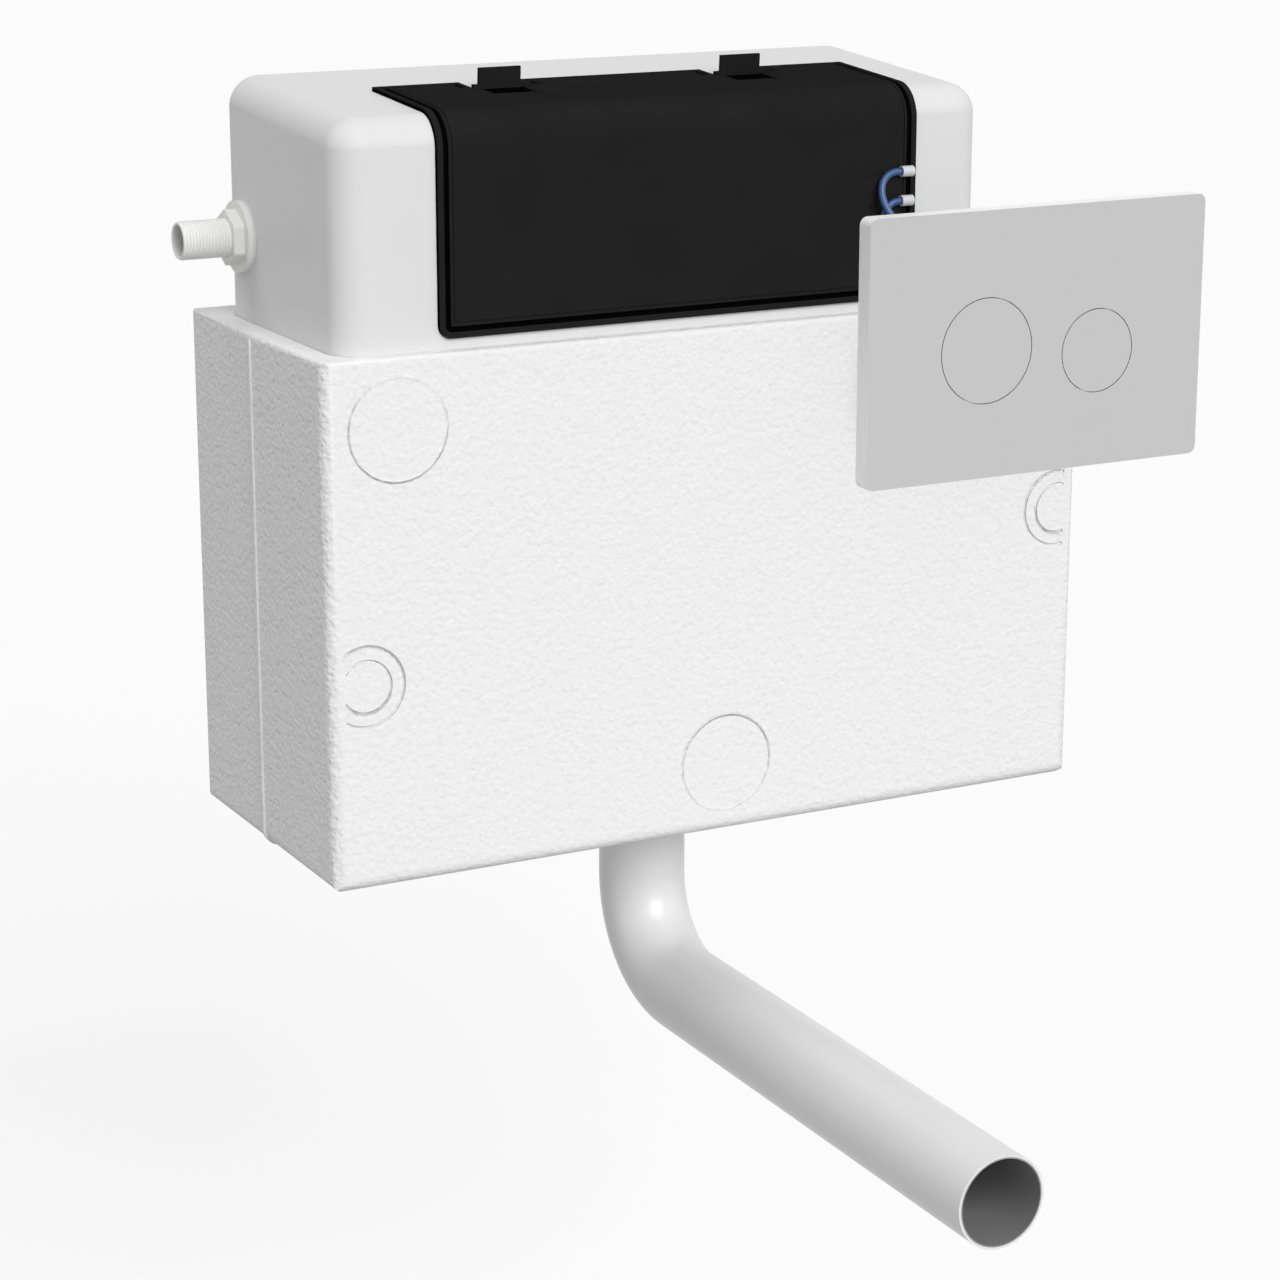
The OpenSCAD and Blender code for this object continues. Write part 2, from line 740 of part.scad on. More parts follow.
module bracket_screws() {
  head_y = tank_back + bracket_t + 2*seat_gap;
  color([0.6, 0.62, 0.64]) for (s = [-1, 1]) translate([s*fixing_span/2, head_y, bracket_screw_z]) {
    along_front() cylinder(r = bracket_screw_r, h = bracket_t + bracket_screw_l);
    along_back() difference() {
      cylinder(r = 4.8, h = 3.2);
      translate([0, 0, 1.4]) cylinder(r = 2.4, h = 3, $fn = 6);
    }
  }
}

// Access cover

// A groove round the cover at the given distances from its edge, left out in front of the notches
module rim_groove(from, to, depth) {
  intersection() {
    shell_band(cover_proud - depth, cover_proud + over);
    difference() {
      cover_cutter(-from);
      cover_cutter(-to);
      for (x = notch_x) translate([x - to - 1, -cover_back - notch_d - to - 1, 0])
        cube([notch_w + 2*to + 2, to + 1, 120]);
    }
  }
}

module access_cover() {
  groove_end = rim_w + groove_w;
  ridge_end = groove_end + ridge_w;
  color([0.13, 0.13, 0.13]) difference() {
    union() {
      intersection() {
        shell_band(cover_proud - cover_t, cover_proud);
        cover_cutter(0);
      }
      intersection() {
        shell_band(cover_proud - cover_t - rib_depth, cover_proud - cover_t + 0.1);
        difference() {
          cover_cutter(-ledge_w - rib_gap);
          cover_cutter(-ledge_w - rib_gap - rib_t);
        }
      }
      for (x = notch_x) on_top(x, -cover_back - notch_d) release_tab();
    }
    rim_groove(rim_w, groove_end, groove_depth);
    rim_groove(ridge_end, ridge_end + fine_line_w, fine_line_depth);
    for (z = [full_elbow_z, half_elbow_z]) elbow_seat(z);
    for (x = notch_x) on_top(x, -cover_back - notch_d) finger_pocket();
    hose_dent(cover_right - 20.5, full_elbow_z - 1);
    hose_dent(cover_right - 27.5, half_elbow_z - 3);
  }
}

// Puts a shape on the tank's sloping top, with its own Z square to that top
module on_top(x, y) {
  translate([x, y, top_z(y)]) rotate([top_slope, 0, 0]) children();
}

// A raised lip along a notch, with the tongue that a finger presses
module release_tab() {
  translate([0, -tongue_t*1.8, 0]) cube([notch_w, tongue_t*1.8, lip_h]);
  translate([(notch_w - tongue_w)/2 - 1.3, -tongue_t, 0]) cube([tongue_w, tongue_t, tongue_h]);
}

// A pocket that slopes down to the lip, so that a finger reaches the tongue
module finger_pocket() {
  y0 = -tongue_t*1.8;
  translate([(notch_w - tongue_w)/2 - 1.3, 0, 0]) rotate([90, 0, 90]) linear_extrude(tongue_w)
    polygon([[y0, cover_proud + over], [y0, cover_proud - pocket_depth], [y0 - pocket_l, cover_proud],
      [y0 - pocket_l, cover_proud + over]]);
}

// A shallow channel that fades out to the left of a hose, cut by a bar tilted a little from the face
module hose_dent(x, z) {
  r = 6;
  run = 34;
  tilt = asin(dent_depth / run);
  translate([x, tank_front - cover_proud - r + dent_depth, z]) rotate([0, -107, tilt]) cylinder(r = r, h = run);
}

// The cut in the cover's rim that holds one hose elbow
module elbow_seat(z) {
  translate([sleeve_left - 0.4, tank_front - cover_proud - over, z - sleeve_d/2 - 0.2])
    cube([sleeve_l + 0.8, cover_proud + over + 0.3, sleeve_d + 0.4]);
  translate([elbow_x, tank_front - cover_proud - over, z]) along_back()
    cylinder(r = spigot_r + 1, h = cover_t + 2*over);
}

// Two sleeves clipped in the cover's rim, each with a spigot that leads the air inside
module hose_elbows() {
  color([0.82, 0.83, 0.84]) for (z = [full_elbow_z, half_elbow_z]) difference() {
    union() {
      translate([sleeve_left, hose_front_y, z]) along_right() cylinder(d = sleeve_d, h = sleeve_l);
      translate([elbow_x, hose_front_y, z]) along_back()
        cylinder(r = spigot_r + 0.8, h = spigot_tip_y - 4 - hose_front_y);
      translate([elbow_x, hose_front_y, z]) along_back()
        cylinder(r = spigot_r, h = spigot_tip_y - hose_front_y);
    }
    translate([sleeve_left - over, hose_front_y, z]) along_right() cylinder(r = hose_d/2 + 0.2, h = 1.6);
    translate([sleeve_left - over, hose_front_y, z]) along_right() cylinder(r = 0.9, h = sleeve_l - 1.3);
    translate([elbow_x, hose_front_y, z]) along_back() cylinder(r = 0.9, h = 30);
  }
}

// Water inlet and fill valve

module inlet_shank() {
  thread_end = pad_outer_x - nut_flange_t - nut_t - over;
  flange_x = pad_inner_x + inlet_washer_t + 2*seat_gap;
  head_x = fill_x - fill_head_r - fill_socket_l - seat_gap;
  color([0.93, 0.93, 0.92]) translate([0, -inlet_y, inlet_z]) difference() {
    union() {
      translate([inlet_end_x, 0, 0]) along_right() cylinder(r = inlet_r, h = thread_end - inlet_end_x);
      translate([inlet_end_x, 0, 0]) along_right()
        cylinder(r = inlet_r - 0.3, h = flange_x - inlet_end_x + over);
      translate([flange_x, 0, 0]) along_right() cylinder(r = inlet_flange_r, h = inlet_flange_t);
      translate([flange_x, 0, 0]) along_right() cylinder(r = inlet_r + 0.5, h = head_x - flange_x);
      translate([head_x - inlet_collar_t, 0, 0]) along_right() cylinder(r = fill_socket_r, h = inlet_collar_t);
    }
    translate([inlet_end_x - over, 0, 0]) along_right() cylinder(r = inlet_bore_r, h = fill_x - inlet_end_x);
  }
}

module inlet_strainer() {
  x0 = pad_outer_x - 7;
  color([0.3, 0.45, 0.7]) translate([x0, -inlet_y, inlet_z]) along_right() difference() {
    union() {
      cylinder(r = inlet_bore_r - 0.1, h = 2);
      cylinder(r = inlet_bore_r - 2, h = 22);
    }
    translate([0, 0, -over]) cylinder(r = inlet_bore_r - 3.4, h = 21);
    for (k = [0:5], a = [0:60:120]) translate([0, 0, 5 + 2.6*k]) rotate([0, 0, a + 30*(k % 2)])
      translate([-10, -1.3, 0]) cube([20, 2.6, 1.2]);
  }
}

module inlet_back_nut() {
  color([0.9, 0.9, 0.89]) translate([pad_outer_x - seat_gap, -inlet_y, inlet_z]) along_left() difference() {
    union() {
      cylinder(r = nut_flange_r, h = nut_flange_t);
      intersection() {
        cylinder(r = nut_af/2/cos(30), h = nut_flange_t + nut_t, $fn = 6);
        cylinder(r = nut_af/2/cos(30) - 0.6, h = nut_flange_t + nut_t);
      }
    }
    translate([0, 0, -over]) cylinder(r = inlet_r + run_gap - 0.05, h = nut_flange_t + nut_t + 2*over);
  }
}

module inlet_washer() {
  color([0.15, 0.15, 0.15]) translate([pad_inner_x + seat_gap, -inlet_y, inlet_z]) along_right()
    tube(inlet_flange_r - 0.5, inlet_r + 0.1, inlet_washer_t);
}

// The valve's head, with its inlet socket, its column and the ears of the float arm
module fill_valve_body() {
  head_x = fill_x - fill_head_r;
  color([0.92, 0.92, 0.9]) translate([0, -inlet_y, 0]) difference() {
    union() {
      translate([fill_x, 0, fill_head_bottom]) cylinder(r = fill_head_r, h = fill_head_h - fill_cap_t);
      translate([head_x - fill_socket_l, 0, inlet_z]) along_right()
        cylinder(r = fill_socket_r, h = fill_socket_l + 6);
      translate([fill_x, 0, column_bottom]) cylinder(r = fill_column_r, h = fill_head_bottom - column_bottom + over);
      for (s = [-1, 1]) translate([fill_x + fill_head_r - 5, s*(arm_w/2 + 1.7) - 1.5, arm_z - 4])
        cube([13, 3, 12]);
      for (a = [45:90:315]) translate([fill_x, 0, column_bottom + 10]) rotate([0, 0, a])
        translate([fill_column_r - 1, -1, 0]) cube([2.2, 2, fill_head_bottom - column_bottom - 10]);
    }
    translate([head_x - fill_socket_l - over, 0, inlet_z]) along_right()
      cylinder(r = inlet_bore_r, h = fill_head_r + fill_socket_l + over);
    translate([fill_x, 0, column_bottom - over])
      cylinder(r = fill_column_r - 2, h = fill_head_top - column_bottom + over);
    translate([arm_pivot_x, 20, arm_z]) along_front() cylinder(r = arm_pin_r + 0.05, h = 40);
  }
}

module fill_valve_diaphragm() {
  color([0.2, 0.2, 0.2]) translate([fill_x, -inlet_y, fill_head_top - fill_cap_t + seat_gap]) {
    tube(fill_head_r - 0.4, 3, 1.6);
    cylinder(r = 4, h = 3);
  }
}

module fill_valve_cap() {
  cap_h = fill_cap_t + fill_skirt;
  color([0.25, 0.45, 0.75]) translate([fill_x, -inlet_y, fill_head_top - cap_h]) difference() {
    union() {
      cylinder(r = fill_head_r + 2.4, h = cap_h);
      for (a = [0:20:340]) rotate([0, 0, a]) translate([fill_head_r + 2, -0.9, 0]) cube([1.4, 1.8, cap_h - 2]);
    }
    translate([0, 0, -over]) cylinder(r = fill_head_r + 0.2, h = fill_skirt + seat_gap + over);
    translate([0, 0, fill_skirt]) cylinder(r = fill_head_r - 0.2, h = fill_cap_t/2);
    translate([0, 0, fill_skirt]) cylinder(r = 2, h = cap_h);
  }
}

module fill_discharge_tube() {
  collar_z = column_bottom - seat_gap - 6;
  foot_z = floor_inside + discharge_rise;
  color([0.85, 0.86, 0.87]) translate([fill_x, -inlet_y, 0]) {
    translate([0, 0, foot_z]) tube(fill_column_r - 2.2, fill_column_r - 3.6, column_bottom + 12 - foot_z);
    translate([0, 0, collar_z]) tube(fill_column_r + 1.4, fill_column_r - 3, 6);
  }
}

// The arm that the float rod swings, open at its end for the rod
module float_arm() {
  color([0.85, 0.85, 0.3]) translate([arm_pivot_x, -inlet_y, arm_z]) difference() {
    union() {
      along_back() translate([0, 0, -arm_w/2]) cylinder(r = 4, h = arm_w);
      translate([0, -arm_w/2, -arm_t/2]) cube([float_arm_l + 7, arm_w, arm_t]);
    }
    translate([0, -arm_w, 0]) along_back() cylinder(r = arm_pin_r + 0.08, h = 2*arm_w);
    translate([float_arm_l - 3.2, -float_rod_r - 0.7, -arm_t]) cube([20, 2*float_rod_r + 1.4, 2*arm_t]);
  }
}

module float_arm_pin() {
  color([0.7, 0.7, 0.72]) translate([arm_pivot_x, -inlet_y - arm_w/2 - 3.4, arm_z]) along_back()
    cylinder(r = arm_pin_r, h = arm_w + 6.8);
}

// An open-bottomed float that slides on the column, with a shelf for the rod
module float_cup() {
  color([0.88, 0.88, 0.86]) translate([fill_x, -inlet_y, float_top - float_h]) difference() {
    union() {
      cylinder(r = float_r, h = float_h);
      translate([0, -6, float_h - float_shelf_t]) cube([float_rod_x - fill_x + 6, 12, float_shelf_t]);
      for (s = [-1, 1]) translate([0, s*5 - 1, float_h - 12]) cube([float_rod_x - fill_x + 2, 2, 9]);
    }
    translate([0, 0, -over]) cylinder(r = fill_column_r + 1.6, h = float_h + 2*over);
    translate([0, 0, -over]) difference() {
      cylinder(r = float_r - 1.6, h = float_h - 2);
      cylinder(r = fill_column_r + 3.2, h = float_h);
    }
    translate([float_rod_x - fill_x, 0, float_h - float_shelf_t - over])
      cylinder(r = float_rod_r + run_gap, h = float_shelf_t + 2*over);
  }
}

// The screwed rod between the float and its arm, with two collars round the arm
module float_rod() {
  foot_z = float_top - float_shelf_t - 4;
  color([0.9, 0.9, 0.92]) translate([float_rod_x, -inlet_y, 0]) {
    translate([0, 0, foot_z]) cylinder(r = float_rod_r, h = arm_z + 10 - foot_z);
    for (z = [arm_z - arm_t/2 - collar_gap - collar_t, arm_z + arm_t/2 + collar_gap])
      translate([0, 0, z]) cylinder(r = collar_r, h = collar_t);
    for (z = [float_top - float_shelf_t - seat_gap - collar_t, float_top + seat_gap])
      translate([0, 0, z]) cylinder(r = collar_r, h = collar_t);
  }
}

// Outlet and flush valve

module flush_valve_base() {
  color([0.9, 0.9, 0.88]) translate([0, -outlet_y, 0]) difference() {
    union() {
      translate([0, 0, base_z]) cylinder(r = base_flange_r, h = base_flange_t);
      translate([0, 0, tail_bottom]) cylinder(r = tail_r, h = base_z - tail_bottom + over);
      translate([0, 0, base_z]) cylinder(r = seat_r + 5, h = seat_z - base_z);
      for (a = [0:45:315]) rotate([0, 0, a]) translate([seat_r, -1.2, base_z])
        cube([cage_r - 5.3 - seat_r, 2.4, 9]);
      for (a = [22.5:90:359]) rotate([0, 0, a]) translate([cage_r - 1.5, -6, base_z]) cube([4, 12, 12]);
    }
    translate([0, 0, tail_bottom - over]) cylinder(r = seat_r, h = seat_z - tail_bottom + 2*over);
    translate([0, 0, tail_bottom - over]) cylinder(r = tail_bore_r, h = pipe_top + 1 - tail_bottom + over);
    translate([0, 0, tail_bottom - over]) cylinder(r = tail_bore_r + 2.4, h = pipe_seal_t + over);
    translate([0, 0, seat_z - 1.2]) difference() {
      cylinder(r = seat_r + 6, h = 2);
      translate([0, 0, -over]) cylinder(r = seat_r + 2, h = 2 + 2*over);
    }
  }
}

module base_washer() {
  color([0.18, 0.18, 0.18]) translate([0, -outlet_y, floor_inside + seat_gap])
    tube(base_flange_r - 2, tail_r + 0.2, base_washer_t);
}

module outlet_back_nut() {
  color([0.88, 0.88, 0.86]) translate([0, -outlet_y, tank_floor - outlet_nut_t - seat_gap]) difference() {
    union() {
      cylinder(r = outlet_nut_r - 5, h = outlet_nut_t);
      translate([0, 0, outlet_nut_t - 3]) cylinder(r = outlet_nut_r, h = 3);
      for (a = [0:45:315]) rotate([0, 0, a]) translate([tail_r + 2, -4, 0])
        cube([outlet_nut_r - tail_r - 3, 8, outlet_nut_t]);
    }
    translate([0, 0, -over]) cylinder(r = tail_r + run_gap - 0.02, h = outlet_nut_t + 2*over);
  }
}

// A lip seal in the tail's mouth that grips the flush pipe
module pipe_seal() {
  color([0.12, 0.12, 0.12]) translate([0, -outlet_y, tail_bottom + 0.5])
    rotate_extrude() translate([pipe_r + 0.05, 0]) difference() {
      square([tail_bore_r + 2.3 - pipe_r, pipe_seal_t - 0.6]);
      translate([1.2, -over]) square([0.8, 3]);
    }
}

// A pipe that drops from the outlet, bends through a right angle and runs to the front
module flush_pipe() {
  color([0.92, 0.92, 0.93]) {
    difference() {
      union() {
        translate([0, -outlet_y, bend_z]) cylinder(r = pipe_r, h = pipe_top - bend_z);
        translate([0, bend_y, arm_axis_z]) along_front() cylinder(r = pipe_r, h = bend_y - pipe_end);
        bend_sweep(pipe_r);
      }
      translate([0, -outlet_y, bend_z]) cylinder(r = pipe_bore_r, h = pipe_top - bend_z + over);
      translate([0, bend_y, arm_axis_z]) along_front() cylinder(r = pipe_bore_r, h = bend_y - pipe_end + over);
      bend_sweep(pipe_bore_r);
    }
  }
}

// A quarter turn of a round bar of radius r round the bend's centre
module bend_sweep(r) {
  translate([0, bend_y, bend_z]) rotate([0, 90, 0]) rotate_extrude(angle = 90)
    translate([bend_r, 0]) circle(r);
}

// The cage that guides the plunger, open at its foot and windowed, with a deck for the actuators
module valve_cage() {
  foot_z = base_z + base_flange_t + seat_gap;
  tube_z = seat_z + 34;
  ring_h = 8;
  span = actuator_span/2 + actuator_r + 1;
  color([0.93, 0.93, 0.95]) translate([0, -outlet_y, 0]) difference() {
    union() {
      translate([0, 0, foot_z]) tube(cage_r - 1.8, cage_r - 5, ring_h);
      for (a = [45:90:315]) rotate([0, 0, a]) translate([cage_r - 5, -4, foot_z]) cube([3.2, 8, tube_z - foot_z + 4]);
      translate([0, 0, tube_z]) tube(cage_r - 1.8, cage_r - 1.8 - cage_wall, deck_z - tube_z);
      translate([0, 0, deck_z]) intersection() {
        translate([-span, -cage_r, 0]) cube([2*span, 2*cage_r, deck_t]);
        cylinder(r = span, h = deck_t);
      }
      for (s = [-1, 1]) translate([s*actuator_span/2, 0, deck_z]) tube(actuator_r + 3, actuator_r + 0.4, deck_t + 5);
      for (s = [-1, 1]) translate([s > 0 ? cage_r - 4 : -span + 4, -1.2, deck_z - 22]) cube([span - cage_r, 2.4, 22]);
    }
    translate([0, 0, deck_z - over]) cylinder(r = overflow_r + 1, h = 10);
    for (s = [-1, 1]) translate([s*half_rod_x*cos(60), s*half_rod_x*sin(60), deck_z - over])
      cylinder(r = half_rod_r + 0.6, h = 10);
    for (k = [0:3], a = [0:60:300]) rotate([0, 0, a + 30*(k % 2)])
      translate([cage_r - 8, -7, tube_z + 12 + 34*k]) cube([12, 14, 20]);
  }
}

// The hollow plunger: an overflow tube that carries the valve's seal and lifts off the seat
module overflow_plunger() {
  carrier_z = seal_z + seal_t + seat_gap;
  tube_top = full_yoke_z - seat_gap;
  color([0.8, 0.83, 0.88]) translate([0, -outlet_y, 0]) difference() {
    union() {
      translate([0, 0, carrier_z]) cylinder(r = seat_r + 7, h = 3);
      translate([0, 0, carrier_z]) cylinder(r = overflow_r + 3, h = 12);
      translate([0, 0, seal_z - 4]) cylinder(r = overflow_r, h = tube_top - seal_z + 4);
      for (a = [0:60:300]) rotate([0, 0, a]) translate([overflow_r, -1, carrier_z]) cube([14, 2, 9]);
    }
    translate([0, 0, seal_z - 5]) cylinder(r = overflow_r - 2, h = tube_top - seal_z + 10);
    for (a = [0:60:120]) rotate([0, 0, a]) translate([-20, -4, actuator_top - 4]) cube([40, 8, 12]);
  }
}

module seat_seal() {
  color([0.7, 0.2, 0.15]) translate([0, -outlet_y, seal_z]) tube(seat_r + 7, overflow_r + 0.2, seal_t);
}

// A yoke clipped on the plunger's top; the full-flush piston pushes it up
module lift_yoke() {
  color([0.25, 0.45, 0.75]) translate([0, -outlet_y, full_yoke_z]) difference() {
    union() {
      cylinder(r = overflow_r + 4, h = yoke_t);
      translate([-(actuator_span + yoke_w)/2, -yoke_w/2, 0]) cube([(actuator_span + yoke_w)/2, yoke_w, yoke_t]);
    }
    translate([0, 0, -over]) cylinder(r = overflow_r - 2, h = yoke_t + 2*over);
  }
}

module full_actuator_piston() {
  piston(-1, full_yoke_z - seat_gap);
}

module half_actuator_piston() {
  piston(1, half_yoke_z - seat_gap);
}

// A piston rod with its foot inside the actuator, from the foot to the yoke above
module piston(side, tip_z) {
  foot_z = actuator_base + actuator_wall + 0.5;
  color([0.85, 0.85, 0.86]) translate([side*actuator_span/2, -outlet_y, 0]) {
    translate([0, 0, foot_z]) cylinder(r = piston_r, h = tip_z - foot_z);
    translate([0, 0, foot_z]) cylinder(r = actuator_r - actuator_wall - 0.8, h = piston_foot_t);
  }
}

module full_actuator_housing() {
  actuator_housing(-1);
}

module half_actuator_housing() {
  actuator_housing(1);
}

// A drum with a hose nipple low on its front side and room for the piston's travel
module actuator_housing(side) {
  base = actuator_base;
  nipple_z = base + nipple_rise;
  color([0.15, 0.16, 0.18]) translate([side*actuator_span/2, -outlet_y, 0]) difference() {
    union() {
      translate([0, 0, base]) cylinder(r = actuator_r, h = actuator_h);
      translate([0, 0, base + 6]) cylinder(r = actuator_r + 1.6, h = 3);
      translate([0, 0, nipple_z]) along_front() cylinder(r = nipple_r, h = actuator_r + nipple_l);
    }
    translate([0, 0, base + actuator_wall])
      cylinder(r = actuator_r - actuator_wall, h = actuator_h - 2*actuator_wall);
    translate([0, 0, base + actuator_h/2]) cylinder(r = piston_r + run_gap, h = actuator_h);
    translate([0, 0, nipple_z]) along_front() cylinder(r = 0.8, h = actuator_r + nipple_l + over);
  }
}

// A ring float round the plunger, hung on two rods from its own yoke
module half_flush_float() {
  rod_top = half_yoke_z - seat_gap;
  color([0.75, 0.8, 0.85]) translate([0, -outlet_y, 0]) {
    translate([0, 0, half_float_z]) difference() {
      cylinder(r = half_float_r, h = half_float_h);
      translate([0, 0, -over]) cylinder(r = overflow_r + 1, h = half_float_h + 2*over);
      translate([0, 0, -over]) tube(half_float_r - 1.6, overflow_r + 2.6, half_float_h - 1);
    }
    for (s = [-1, 1]) translate([s*half_rod_x*cos(60), s*half_rod_x*sin(60), half_float_z + half_float_h - 0.5])
      cylinder(r = half_rod_r, h = rod_top - half_float_z - half_float_h + 0.5);
  }
}

// A yoke round the overflow tube that the half-flush piston pushes up
module half_lift_yoke() {
  color([0.35, 0.6, 0.4]) translate([0, -outlet_y, half_yoke_z]) difference() {
    union() {
      cylinder(r = half_rod_x + 5, h = yoke_t);
      translate([0, -yoke_w/2, 0]) cube([(actuator_span + yoke_w)/2, yoke_w, yoke_t]);
    }
    translate([0, 0, -over]) cylinder(r = overflow_r + 0.6, h = yoke_t + 2*over);
    translate([-actuator_span/2, 0, -over]) cylinder(r = actuator_span/2 - half_rod_x + 3, h = yoke_t + 2*over);
  }
}

// Air hoses

function unit(v) = v / norm(v);
// Direction of a route at each of its points
function directions(p) = [for (i = [0:len(p) - 1]) unit(p[min(i + 1, len(p) - 1)] - p[max(i - 1, 0)])];
// A vector square to the first direction
function first_side(t) = unit(cross(t, abs(t[2]) < 0.8 ? [0, 0, 1] : [1, 0, 0]));
// What is left of n when its part along t is taken away
function square_to(n, t) = unit(n - (n * t) * t);
// Side vectors carried along a route without twist
function sides_along(t) = [for (i = 0, n = first_side(t[0]); i < len(t);
  i = i + 1, n = i < len(t) ? square_to(n, t[i]) : n) n];
// One ring of points round a route
function ring_at(c, t, n, r, k) = [for (a = [0:k - 1])
  c + r*cos(360*a/k)*n + r*sin(360*a/k)*cross(t, n)];

// A hose of round section along a route
module hose(route) {
  k = hose_sides;
  last = len(route) - 1;
  t = directions(route);
  n = sides_along(t);
  rings = [for (i = [0:last]) each ring_at(route[i], t[i], n[i], hose_d/2, k)];
  skin = [for (i = [0:last - 1], a = [0:k - 1]) each [
    [i*k + a, (i + 1)*k + a, i*k + (a + 1) % k],
    [i*k + (a + 1) % k, (i + 1)*k + a, (i + 1)*k + (a + 1) % k]
  ]];
  first_end = [for (a = [1:k - 2]) [0, a, a + 1]];
  last_end = [for (a = [1:k - 2]) [last*k, last*k + a + 1, last*k + a]];
  polyhedron(points = rings, faces = concat(skin, first_end, last_end));
}

module full_outer_hose() { color([0.25, 0.38, 0.56]) hose(full_outer_route); }
module half_outer_hose() { color([0.25, 0.38, 0.56]) hose(half_outer_route); }
module full_inner_hose() { color([0.25, 0.38, 0.56]) hose(full_inner_route); }
module half_inner_hose() { color([0.25, 0.38, 0.56]) hose(half_inner_route); }

// Flush plate

// The plate's outline, inset by t
module plate_outline(t) {
  r = max(plate_r - t, 1);
  rounded_rect(plate_left + t, plate_left + plate_w - t, plate_bottom + t, plate_bottom + plate_h - t, [r, r, r, r]);
}

// Places a shape that stands along +Z on a button's axis, pointing to the wall from plane y
module on_button(x, z, y) {
  translate([x, y, z]) along_back() children();
}

// The front shell with the two button holes and a slot to prise it off
module plate_fascia() {
  color([0.8, 0.8, 0.8]) difference() {
    upright_slab(plate_front, plate_t) plate_outline(0);
    upright_slab(plate_front + fascia_wall, plate_t) plate_outline(fascia_wall);
    on_button(full_x, full_z, plate_front - over) cylinder(r = full_button_r + button_gap, h = fascia_wall + 2*over);
    on_button(half_x, half_z, plate_front - over) cylinder(r = half_button_r + button_gap, h = fascia_wall + 2*over);
    translate([plate_left - over, plate_back - plate_t/2, plate_bottom + plate_h - pry_slot_drop - pry_slot_l/2])
      cube([fascia_wall + 2*over, pry_slot_w, pry_slot_l]);
  }
}

// The frame behind the fascia, with a guide ring for each button and two fixing holes
module plate_frame() {
  spacer_y = plate_front + fascia_wall + seat_gap;
  color([0.7, 0.7, 0.72]) difference() {
    union() {
      upright_slab(frame_front, frame_t) plate_outline(fascia_wall + frame_gap);
      on_button(full_x, full_z, spacer_y) cylinder(r = full_button_r + run_gap + guide_wall, h = frame_front - spacer_y + over);
      on_button(half_x, half_z, spacer_y) cylinder(r = half_button_r + run_gap + guide_wall, h = frame_front - spacer_y + over);
      for (sx = [-1, 1], sz = [-1, 1])
        translate([plate_x + sx*(plate_w/2 - 12), spacer_y, plate_z + sz*(plate_h/2 - 12)]) along_back()
          cylinder(r = 4, h = frame_front - spacer_y + over);
    }
    on_button(full_x, full_z, spacer_y - over) cylinder(r = full_button_r + run_gap, h = plate_t);
    on_button(half_x, half_z, spacer_y - over) cylinder(r = half_button_r + run_gap, h = plate_t);
    for (s = [-1, 1]) translate([plate_x + s*plate_fixing_span/2, frame_back + over, plate_z]) along_front()
      cylinder(r = plate_fixing_r, h = frame_t + 2*over);
  }
}

// A push button: a flat cap with a skirt and a stem that presses the bellows
module button(x, z, r) {
  skirt_l = frame_back - button_travel - plate_front;
  color([0.78, 0.78, 0.78]) on_button(x, z, plate_front) difference() {
    union() {
      difference() {
        cylinder(r = r, h = skirt_l);
        translate([0, 0, fascia_wall]) cylinder(r = r - 2, h = skirt_l);
      }
      cylinder(r = stem_r, h = stem_tip - plate_front);
      for (a = [0:90:270]) rotate([0, 0, a]) translate([0, -0.8, 0.5]) cube([r - 1, 1.6, skirt_l - 0.7]);
    }
    translate([0, 0, fascia_wall]) cylinder(r = stem_r - 2, h = stem_tip - plate_front);
  }
}

module full_button() { button(full_x, full_z, full_button_r); }
module half_button() { button(half_x, half_z, half_button_r); }

// A cup behind the frame that holds the bellows, with a hose nipple on top
module pump_housing(x, z, r) {
  color([0.16, 0.17, 0.19]) on_button(x, z, frame_back + seat_gap) difference() {
    union() {
      cylinder(r = r + 5, h = 2);
      cylinder(r = r, h = pump_depth);
      translate([0, 0, pump_nipple_y - frame_back]) rotate([90, 0, 0]) cylinder(r = nipple_r, h = r + nipple_l);
    }
    translate([0, 0, -over]) cylinder(r = r - pump_wall, h = pump_depth - pump_wall + over);
    translate([0, 0, pump_nipple_y - frame_back]) rotate([90, 0, 0]) translate([0, 0, r - 5])
      cylinder(r = 0.8, h = 5 + nipple_l + over);
  }
}

module full_pump_housing() { pump_housing(full_x, full_z, full_pump_r); }
module half_pump_housing() { pump_housing(half_x, half_z, half_pump_r); }

// A closed rubber bellows between the button's stem and the bottom of the cup
module bellows(x, z, r) {
  y0 = stem_tip + bellows_gap;
  length = pump_back - pump_wall - bellows_gap - y0;
  folds = 4;
  pitch = length / folds;
  outer = r - pump_wall - 1;
  fold = 3.4;
  wall = 1.3;
  color([0.1, 0.1, 0.1]) on_button(x, z, y0) rotate_extrude() difference() {
    polygon(concat([[0, 0]], [for (k = [0:folds - 1]) each [[outer - fold, k*pitch], [outer, (k + 0.5)*pitch]]],
      [[outer - fold, length], [0, length]]));
    polygon(concat([[0, wall*1.5]], [for (k = [0:folds - 1]) each [
      [outer - fold - wall, max(k*pitch, wall*1.5)], [outer - wall, (k + 0.5)*pitch]]],
      [[outer - fold - wall, length - wall*1.5], [0, length - wall*1.5]]));
  }
}

module full_pump_bellows() { bellows(full_x, full_z, full_pump_r); }
module half_pump_bellows() { bellows(half_x, half_z, half_pump_r); }

